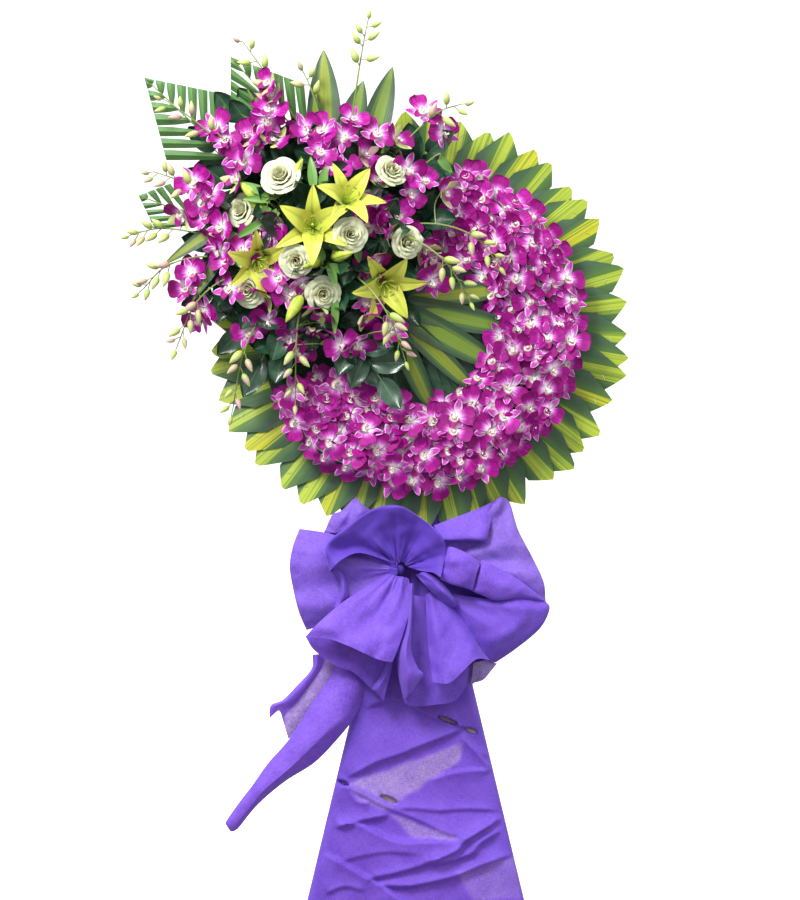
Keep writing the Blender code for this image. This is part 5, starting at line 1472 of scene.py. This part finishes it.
# The sheet runs down the front, round the poles' sides, and a little way in behind them.
up = np.linspace(WRAP_TOP, WRAP_BOTTOM, WRAP_ROWS)[:, None]
half = np.maximum(leg_reach(up) * WRAP_SPREAD + WRAP_CLEAR, WRAP_LEAST)
turn = math.pi * np.linspace(0, 1, 9)
deep = (WRAP_FRONT - WRAP_BACK) / 2
side_u = WRAP_TURN * np.sin(turn)
side_w = (WRAP_FRONT + WRAP_BACK) / 2 + deep * np.cos(turn)
flap = np.linspace(0.3, 1, 5) * WRAP_FLAP
front = half - WRAP_TURN
shares = np.linspace(-1, 1, WRAP_COLUMNS)[1:-1]
flap_w = np.full(len(flap), WRAP_BACK)
edge = front - flap
u = np.concatenate([-edge[:, ::-1], -front - side_u[::-1], shares * front, front + side_u, edge], axis=1)
w = np.concatenate([flap_w, side_w[::-1], np.full(len(shares), WRAP_FRONT), side_w, flap_w])
u, v, w = np.broadcast_arrays(u, up, w[None, :])
facing = np.clip((w - WRAP_BACK) / (WRAP_FRONT - WRAP_BACK), 0, 1)
sheet = np.stack([u, v, w], -1)
rise = crumple(sheet, 0.030, 0.0007) + 0.0012
rise += crumple(sheet * (0.6, 1, 1), 0.062, 0.0026) + 0.0030
for height, reach, line in TUCKS:
    rise += tuck_height(u * 1000, v * 1000, height * TUCK_SHARE, reach, line) / 1000
rise += 0.0016 * np.sin(u / half * 17 + 3 * np.sin(v * 9)) * np.clip((v + 0.72) / 0.1, 0, 1)
for a, b in LATH_SLITS:
    rise -= slit(u * 1000, v * 1000, a, b, 4.2, 1.5) * (rise + 0.0095)
layers_and_shade = np.full(u.shape, WRAP_DEPTH)
uneven = crumple(sheet, 0.030, 1.8)
for corners, pale in SINGLE_LAYERS:
    layers_and_shade += (pale - layers_and_shade) * between_corners(u * 1000 + uneven, v * 1000 - uneven, corners, 9)
wrap = Gathered().add(cloth_skin(np.stack([u, v, w + rise * facing], -1), layers_and_shade))
wound = wrap.piece("wound_cloth", [CLOTH], "cloth", ["cloth_wrap"], crease=85)


# The bow is a long width of the same cloth, gathered into loops and flaps that all run to one tight pinch. A
# twist of the cloth ties it to the crosspiece.
# Where its pinch is in millimetres, like the folds' points below
BOW_PINCH = (-34, -463)
# The tie behind the pinch: how far out it runs from and to, and its radius
TIE_OUT = (0.004, 0.016, 0.028, 0.036)
TIE_RADIUS = 0.013
# How large and how deep the dents of its cloth are
BOW_DENTS = (0.020, 0.0017)
# Each loop or flap: how far behind it returns to the pinch (0 if it doesn't), and its points in millimetres,
# row by row from the pinch to its edge
BOW_FOLDS = (
    ("left_loop", 6, (
        ((-35, -456, 36), (-37, -459, 38), (-38, -463, 38), (-38, -466, 38), (-37, -470, 38),
         (-35, -473, 36)),
        ((-95, -419, 40), (-109, -440, 50), (-116, -461, 52), (-112, -486, 44), (-105, -510, 50),
         (-95, -531, 34)),
        ((-161, -396, 36), (-183, -426, 54), (-188, -458, 58), (-183, -496, 50), (-168, -531, 58),
         (-151, -559, 38)),
        ((-216, -387, 26), (-229, -419, 42), (-235, -458, 50), (-228, -503, 46), (-217, -544, 46),
         (-203, -577, 28)),
    )),
    ("upper_loop", 10, (
        ((-35, -456, 34), (-34, -453, 36), (-33, -451, 34), (-31, -450, 36), (-29, -449, 34),
         (-25, -450, 36), (-22, -452, 34), (-19, -455, 36), (-17, -458, 34)),
        ((-67, -442, 58), (-64, -435, 48), (-60, -426, 58), (-49, -418, 46), (-32, -415, 56),
         (-15, -421, 44), (-3, -432, 56), (5, -447, 48), (8, -465, 60)),
        ((-109, -431, 82), (-109, -419, 66), (-96, -400, 76), (-70, -384, 62), (-34, -377, 74),
         (1, -392, 60), (23, -414, 76), (33, -440, 68), (32, -468, 80)),
        ((-142, -445, 92), (-148, -424, 78), (-123, -391, 94), (-80, -361, 74), (-35, -353, 92),
         (7, -371, 70), (37, -401, 94), (50, -433, 78), (44, -475, 94)),
        ((-161, -465, 84), (-168, -419, 84), (-131, -382, 94), (-79, -348, 76), (-33, -342, 92),
         (3, -361, 72), (44, -394, 95), (56, -428, 82), (47, -475, 90)),
    )),
    ("hollow", 0, (
        ((-35, -456, 44), (-35, -461, 44), (-35, -466, 44), (-35, -472, 44)),
        ((-81, -437, 48), (-81, -451, 34), (-81, -465, 32), (-77, -479, 36)),
        ((-119, -435, 50), (-123, -454, 30), (-123, -472, 28), (-119, -500, 36)),
        ((-154, -465, 56), (-146, -472, 40), (-140, -489, 38), (-137, -524, 44)),
    )),
    ("rolled_strip", 0, (
        ((-160, -467, 56), (-151, -462, 68), (-138, -470, 58)),
        ((-146, -482, 56), (-140, -479, 72), (-132, -486, 58)),
        ((-145, -507, 54), (-136, -505, 72), (-128, -510, 58)),
        ((-161, -536, 48), (-145, -532, 64), (-127, -521, 56)),
    )),
    ("bright_flap", 0, (
        ((-53, -472, 40), (-42, -474, 44), (-31, -476, 42), (-24, -477, 46), (-17, -479, 42),
         (-13, -481, 40)),
        ((-95, -496, 56), (-75, -510, 66), (-56, -519, 58), (-38, -523, 70), (-23, -521, 62), (-9, -514, 56)),
        ((-142, -527, 72), (-119, -552, 84), (-91, -565, 78), (-65, -572, 90), (-42, -570, 84),
         (-14, -547, 72)),
        ((-185, -564, 78), (-154, -574, 92), (-119, -589, 92), (-88, -602, 102), (-60, -609, 98),
         (-27, -592, 84)),
        ((-209, -590, 72), (-168, -592, 86), (-130, -604, 96), (-95, -620, 104), (-67, -632, 100),
         (-44, -636, 94)),
    )),
    ("under_flap", 0, (
        ((-49, -489, 40), (-44, -491, 42), (-38, -493, 42), (-33, -494, 42), (-28, -496, 42),
         (-23, -498, 40)),
        ((-126, -545, 46), (-109, -574, 50), (-91, -591, 44), (-74, -602, 48), (-56, -612, 40),
         (-35, -616, 38)),
        ((-175, -574, 44), (-161, -605, 48), (-130, -623, 44), (-105, -637, 48), (-86, -660, 38),
         (-67, -679, 32)),
        ((-208, -591, 42), (-191, -617, 42), (-149, -646, 44), (-123, -655, 44), (-102, -672, 36),
         (-62, -711, 28)),
    )),
    ("small_fold", 0, (
        ((-53, -633, 50), (-48, -632, 60), (-43, -630, 54)),
        ((-65, -661, 46), (-57, -660, 60), (-48, -660, 50)),
        ((-83, -687, 38), (-72, -686, 56), (-55, -686, 48)),
        ((-82, -689, 36), (-70, -700, 46), (-61, -711, 42)),
    )),
    ("centre_fold", 0, (
        ((-11, -489, 70), (-8, -488, 76), (-4, -489, 70)),
        ((-16, -567, 80), (-11, -565, 96), (-8, -567, 80)),
        ((-31, -616, 78), (-20, -612, 104), (-8, -616, 84)),
        ((-34, -651, 72), (-17, -646, 104), (4, -648, 84)),
        ((-29, -682, 66), (-10, -677, 92), (14, -661, 80)),
        ((-23, -708, 58), (-16, -702, 70), (-6, -689, 72)),
    )),
    ("bottom_lobe", 0, (
        ((-17, -510, 40), (-10, -511, 42), (-3, -512, 42), (4, -513, 42), (11, -515, 42), (20, -517, 40)),
        ((-35, -588, 44), (-17, -595, 54), (4, -600, 50), (28, -602, 54), (49, -598, 48), (74, -591, 42)),
        ((-35, -651, 46), (-16, -660, 62), (9, -665, 54), (39, -665, 60), (67, -656, 50), (99, -640, 42)),
        ((-24, -706, 44), (-18, -717, 50), (4, -722, 46), (39, -718, 52), (74, -711, 44), (96, -685, 36)),
    )),
    ("right_flap", 0, (
        ((18, -510, 44), (26, -507, 50), (35, -507, 46), (44, -509, 50), (58, -516, 42)),
        ((21, -567, 62), (37, -565, 76), (55, -559, 70), (74, -556, 66), (96, -565, 50)),
        ((25, -623, 78), (48, -623, 92), (74, -612, 88), (99, -596, 78), (120, -608, 58)),
        ((32, -674, 88), (62, -675, 104), (88, -653, 102), (113, -631, 90), (139, -633, 66)),
    )),
    ("right_lobe", 8, (
        ((49, -524, 44), (53, -520, 46), (56, -516, 46), (60, -512, 46), (65, -509, 46)),
        ((100, -574, 52), (114, -559, 64), (130, -544, 62), (141, -530, 68), (144, -519, 62)),
        ((121, -612, 52), (148, -588, 72), (179, -561, 72), (198, -538, 74), (194, -517, 64)),
        ((135, -632, 44), (171, -607, 62), (211, -570, 64), (229, -542, 64), (223, -521, 56)),
        ((151, -639, 36), (191, -611, 46), (234, -574, 48), (252, -538, 48), (244, -522, 46)),
    )),
    ("band_one", 0, (
        ((41, -452, 60), (51, -440, 66), (65, -436, 66), (78, -440, 62)),
        ((54, -422, 72), (69, -420, 84), (95, -431, 86), (117, -446, 80)),
        ((52, -447, 82), (69, -449, 98), (92, -458, 100), (114, -470, 90)),
        ((46, -477, 80), (67, -486, 92), (88, -492, 92), (107, -499, 84)),
        ((48, -482, 62), (67, -489, 66), (88, -494, 66), (104, -500, 62)),
    )),
    ("band_two", 0, (
        ((116, -454, 54), (132, -454, 56), (176, -479, 54), (211, -503, 50), (239, -520, 46)),
        ((121, -451, 66), (130, -447, 76), (179, -473, 72), (215, -498, 64), (244, -521, 50)),
        ((114, -473, 80), (127, -479, 90), (169, -496, 86), (208, -509, 72), (243, -522, 52)),
        ((107, -500, 76), (120, -505, 80), (152, -518, 78), (195, -516, 68), (242, -523, 50)),
        ((106, -503, 60), (120, -509, 60), (152, -520, 58), (195, -517, 56), (239, -524, 46)),
    )),
    ("upper_fold", 0, (
        ((34, -380, 30), (60, -370, 36), (95, -357, 38), (127, -344, 36), (158, -328, 28)),
        ((41, -393, 38), (67, -388, 50), (95, -381, 54), (124, -374, 54), (143, -366, 44)),
        ((48, -406, 44), (74, -407, 56), (102, -405, 62), (128, -406, 64), (136, -398, 52)),
        ((44, -410, 30), (74, -410, 34), (102, -409, 36), (127, -409, 38), (134, -406, 38)),
    )),
    ("upper_lobe", 4, (
        ((25, -461, 28), (28, -465, 28), (32, -468, 28), (35, -472, 30), (39, -475, 30), (42, -479, 30),
         (46, -482, 30)),
        ((81, -398, 34), (95, -401, 36), (106, -412, 34), (113, -429, 42), (120, -447, 38),
         (127, -468, 46), (127, -496, 40)),
        ((120, -370, 40), (137, -370, 44), (150, -384, 38), (158, -415, 52), (172, -444, 46),
         (186, -472, 58), (190, -503, 48)),
        ((141, -349, 44), (157, -342, 48), (166, -356, 38), (181, -398, 56), (204, -444, 48),
         (222, -479, 58), (225, -510, 48)),
        ((144, -340, 38), (159, -327, 44), (177, -337, 34), (193, -388, 46), (222, -444, 40),
         (241, -486, 50), (245, -522, 42)),
    )),
    ("centre_roll", 0, (
        ((0, -473, 60), (11, -468, 70), (25, -468, 62)),
        ((25, -500, 64), (40, -491, 84), (52, -489, 68)),
        ((49, -522, 60), (63, -515, 80), (70, -513, 64)),
        ((69, -538, 52), (75, -532, 64), (80, -525, 56)),
    )),
    ("inner_wall", 0, (
        ((21, -475, 44), (21, -482, 42), (21, -489, 42), (21, -496, 42)),
        ((60, -486, 40), (62, -500, 34), (63, -514, 36), (60, -528, 40)),
        ((95, -496, 42), (100, -517, 34), (102, -538, 36), (85, -545, 44)),
        ((127, -510, 50), (127, -531, 38), (123, -559, 42), (99, -567, 48)),
    )),
    ("left_point", 0, (
        ((-158, -358, 16), (-139, -351, 20), (-115, -328, 20), (-102, -340, 26), (-83, -352, 24)),
        ((-166, -375, 20), (-142, -371, 32), (-123, -356, 28), (-103, -354, 36), (-84, -355, 28)),
        ((-172, -390, 20), (-151, -394, 26), (-126, -384, 34), (-105, -371, 36), (-86, -358, 32)),
    )),
    ("thin_end", 0, (
        ((109, -640, 34), (123, -637, 36), (135, -634, 34), (146, -637, 30)),
        ((107, -660, 30), (123, -656, 32), (137, -647, 30), (150, -640, 26)),
        ((104, -680, 24), (127, -673, 26), (141, -658, 24), (154, -642, 20)),
    )),
    ("under_right", 0, (
        ((60, -480, 6), (110, -484, 7), (182, -494, 6)),
        ((60, -510, 7), (120, -514, 9), (190, -518, 7)),
        ((60, -545, 7), (120, -545, 9), (185, -542, 7)),
    )),
    ("back_right", 0, (
        ((30, -425, 12), (110, -412, 16), (178, -402, 16)),
        ((30, -462, 12), (120, -462, 18), (212, -470, 20)),
        ((30, -505, 12), (120, -508, 18), (226, -515, 22)),
    )),
    ("thin_side", 0, (
        ((86, -622, 20), (112, -624, 22), (144, -628, 20)),
        ((84, -650, 18), (104, -654, 22), (128, -655, 22)),
        ((90, -687, 16), (100, -684, 18), (110, -680, 18)),
    )),
    ("under_left", 0, (
        ((-173, -390, 5), (-150, -378, 8), (-120, -372, 8)),
        ((-176, -400, 5), (-150, -402, 8), (-120, -400, 8)),
        ((-176, -425, 5), (-150, -425, 8), (-120, -425, 8)),
    )),
    ("web_behind_pinch", 0, (
        ((-36, -444, 2), (-38, -444, 16), (-36, -446, 32)),
        ((-36, -455, 2), (-38, -455, 22), (-36, -456, 42)),
        ((-36, -464, 2), (-38, -464, 22), (-36, -464, 43)),
        ((-36, -474, 2), (-38, -474, 22), (-36, -473, 42)),
        ((-36, -500, 2), (-38, -500, 20), (-36, -490, 36)),
    )),
)
# How single the cloth lies in each, from its deepest violet at -1 to its palest at 1. Below 0 this is partly
# cloth lying double and partly painted shade, most in the hollow, the inner wall, the upper loop and under
# the right side
BOW_LAYERS_AND_SHADE = {
    "upper_lobe": 0.30, "thin_end": 1.0, "thin_side": 0.4, "left_loop": 0.10, "left_point": 0.25,
    "upper_loop": -0.75, "hollow": -0.9, "inner_wall": -1.0, "centre_roll": -0.4, "under_flap": -0.3,
    "bottom_lobe": -0.3, "right_flap": -0.35, "right_lobe": -0.25, "under_right": -0.8, "back_right": -0.3,
}


def cloth_grid(rows, back=0, steps=7):
    """A smooth fine grid through rows of points, returning behind them to the pinch where back is set."""
    rows = [np.array(row, float) for row in rows]
    if back:
        root = rows[0][:, :2].mean(axis=0)
        for row, inset, share in ((rows[-1], 0.97, 0.55), (rows[-2], 0.96, 0.05), (rows[1], 0.95, 0.0)):
            turned = row.copy()
            turned[:, :2] = root + (row[:, :2] - root) * inset
            turned[:, 2] = back + (row[:, 2] - back) * share
            rows.append(turned)
    fine = smooth_run(rows, steps)
    fine = smooth_run(fine.transpose(1, 0, 2), steps).transpose(1, 0, 2)
    return fine / 1000


def smooth_cloth(grid, size, height):
    """Adds the small dents and the sharp creases that such cloth keeps from being folded."""
    x, y, _ = (grid / (2.4 * size)).transpose(2, 0, 1)
    creases = np.abs(np.sin(1.9 * x + 1.4 * np.sin(1.2 * y + 0.5)))
    creases += np.abs(np.sin(1.3 * y - 1.1 * x + np.sin(2.1 * x)))
    return grid + np.array([0, 0, 1.0]) * (crumple(grid, size, height) - 1.3 * height * creases)[..., None]


def gathers(grid):
    """Fine creases that run out from the pinch and fade."""
    u, v = grid[..., 0] - BOW_PINCH[0] / 1000, grid[..., 1] - BOW_PINCH[1] / 1000
    away, angle = np.hypot(u, v), np.arctan2(v, u)
    ridges = np.abs(np.sin(6.5 * angle + 1.3 * np.sin(3 * angle))) + 0.5 * np.abs(np.sin(14 * angle + 2))
    depth = 0.0062 * np.clip(away / 0.03, 0, 1) * np.exp(-(away / 0.095) ** 2)
    depth += 0.0036 * np.sin(5 * angle + 2 * np.sin(2 * angle)) * np.clip(away / 0.12, 0, 1)
    return grid + np.array([0, 0, 1.0]) * (depth * (ridges - 0.8))[..., None]


bow = Gathered()
for name, back, rows in BOW_FOLDS:
    grid = gathers(smooth_cloth(cloth_grid(rows, back), *BOW_DENTS))
    bow.add(cloth_skin(grid, BOW_LAYERS_AND_SHADE.get(name, 0.0)))
pinch = Vector((*BOW_PINCH, 0)) / 1000
tie = smooth_run([pinch + outward(w) for w in TIE_OUT], 4)
# The tie takes the deepest violet: cloth twisted many layers thick, and painted shade in the middle of the
# pinch.
bow.add(tube(tie, TIE_RADIUS * np.sqrt(1.02 - np.linspace(0, 1, len(tie)) ** 4), 18), tone=-1.0)
gathered = bow.piece("gathered_bow", [CLOTH], "cloth", ["cloth_bow"], crease=85)


# Two tails hang from under the bow at the left, outside the easel. The long one is folded lengthwise. The
# short one lies double along its outer edge and single beside it, and its end is notched.
TAIL_STEPS = 8
LONG_TAIL_DENTS = (0.030, 0.0012)
SHORT_TAIL_DENTS = (0.030, 0.0010)
LONG_TAIL = (
    ((-149, -635, 4), (-134, -631, 10), (-114, -635, 12), (-95, -645, 8), (-83, -657, 2)),
    ((-165, -672, 8), (-145, -672, 20), (-128, -676, 24), (-110, -688, 20), (-97, -703, 4)),
    ((-198, -719, 14), (-176, -723, 30), (-153, -730, 36), (-130, -735, 30), (-117, -745, 8)),
    ((-240, -785, 16), (-215, -781, 34), (-192, -785, 42), (-160, -769, 38), (-148, -785, 10)),
    ((-280, -831, 16), (-254, -831, 32), (-233, -831, 38), (-221, -827, 36), (-192, -830, 10)),
    ((-312, -876, 14), (-299, -876, 24), (-287, -876, 29), (-280, -878, 28), (-248, -866, 8)),
    ((-333, -903, 12), (-324, -903, 20), (-314, -905, 22), (-306, -907, 20), (-299, -909, 8)),
    ((-359, -940, 10), (-353, -940, 14), (-347, -942, 16), (-339, -946, 14), (-332, -949, 6)),
    ((-360, -949, 8), (-356, -955, 10), (-351, -961, 10), (-344, -960, 9), (-338, -956, 6)),
)
SHORT_TAIL = (
    ((-196, -626, 2), (-188, -625, 8), (-180, -624, 6), (-171, -623, 4), (-161, -624, 4), (-149, -628, 2)),
    ((-198, -653, 4), (-192, -651, 12), (-186, -651, 10), (-178, -651, 5), (-167, -649, 5), (-153, -645, 2)),
    ((-227, -686, 6), (-219, -685, 15), (-209, -685, 13), (-202, -686, 6), (-186, -690, 7), (-165, -694, 3)),
    ((-252, -711, 8), (-245, -711, 17), (-236, -715, 15), (-227, -719, 7), (-211, -726, 8), (-188, -734, 4)),
    ((-275, -722, 8), (-269, -723, 15), (-260, -727, 13), (-246, -740, 7), (-235, -752, 8), (-219, -765, 4)),
    ((-278, -747, 6), (-271, -740, 10), (-259, -732, 11), (-252, -752, 7), (-247, -769, 6), (-242, -786, 4)),
)
SHORT_TAIL_SINGLE = (0.0, 0.0, 0.1, 1.0, 1.0, 1.0)

folded = cloth_skin(smooth_cloth(cloth_grid(LONG_TAIL, 0, TAIL_STEPS), *LONG_TAIL_DENTS))
long_tail = Gathered().add(folded).piece("long_tail", [CLOTH], "cloth", ["cloth_tail_long"])

grid = smooth_cloth(cloth_grid(SHORT_TAIL, 0, TAIL_STEPS), *SHORT_TAIL_DENTS)
notched = cloth_skin(grid, np.repeat(SHORT_TAIL_SINGLE, TAIL_STEPS)[:grid.shape[1]])
short_tail = Gathered().add(notched).piece("short_tail", [CLOTH], "cloth", ["cloth_tail_short"])
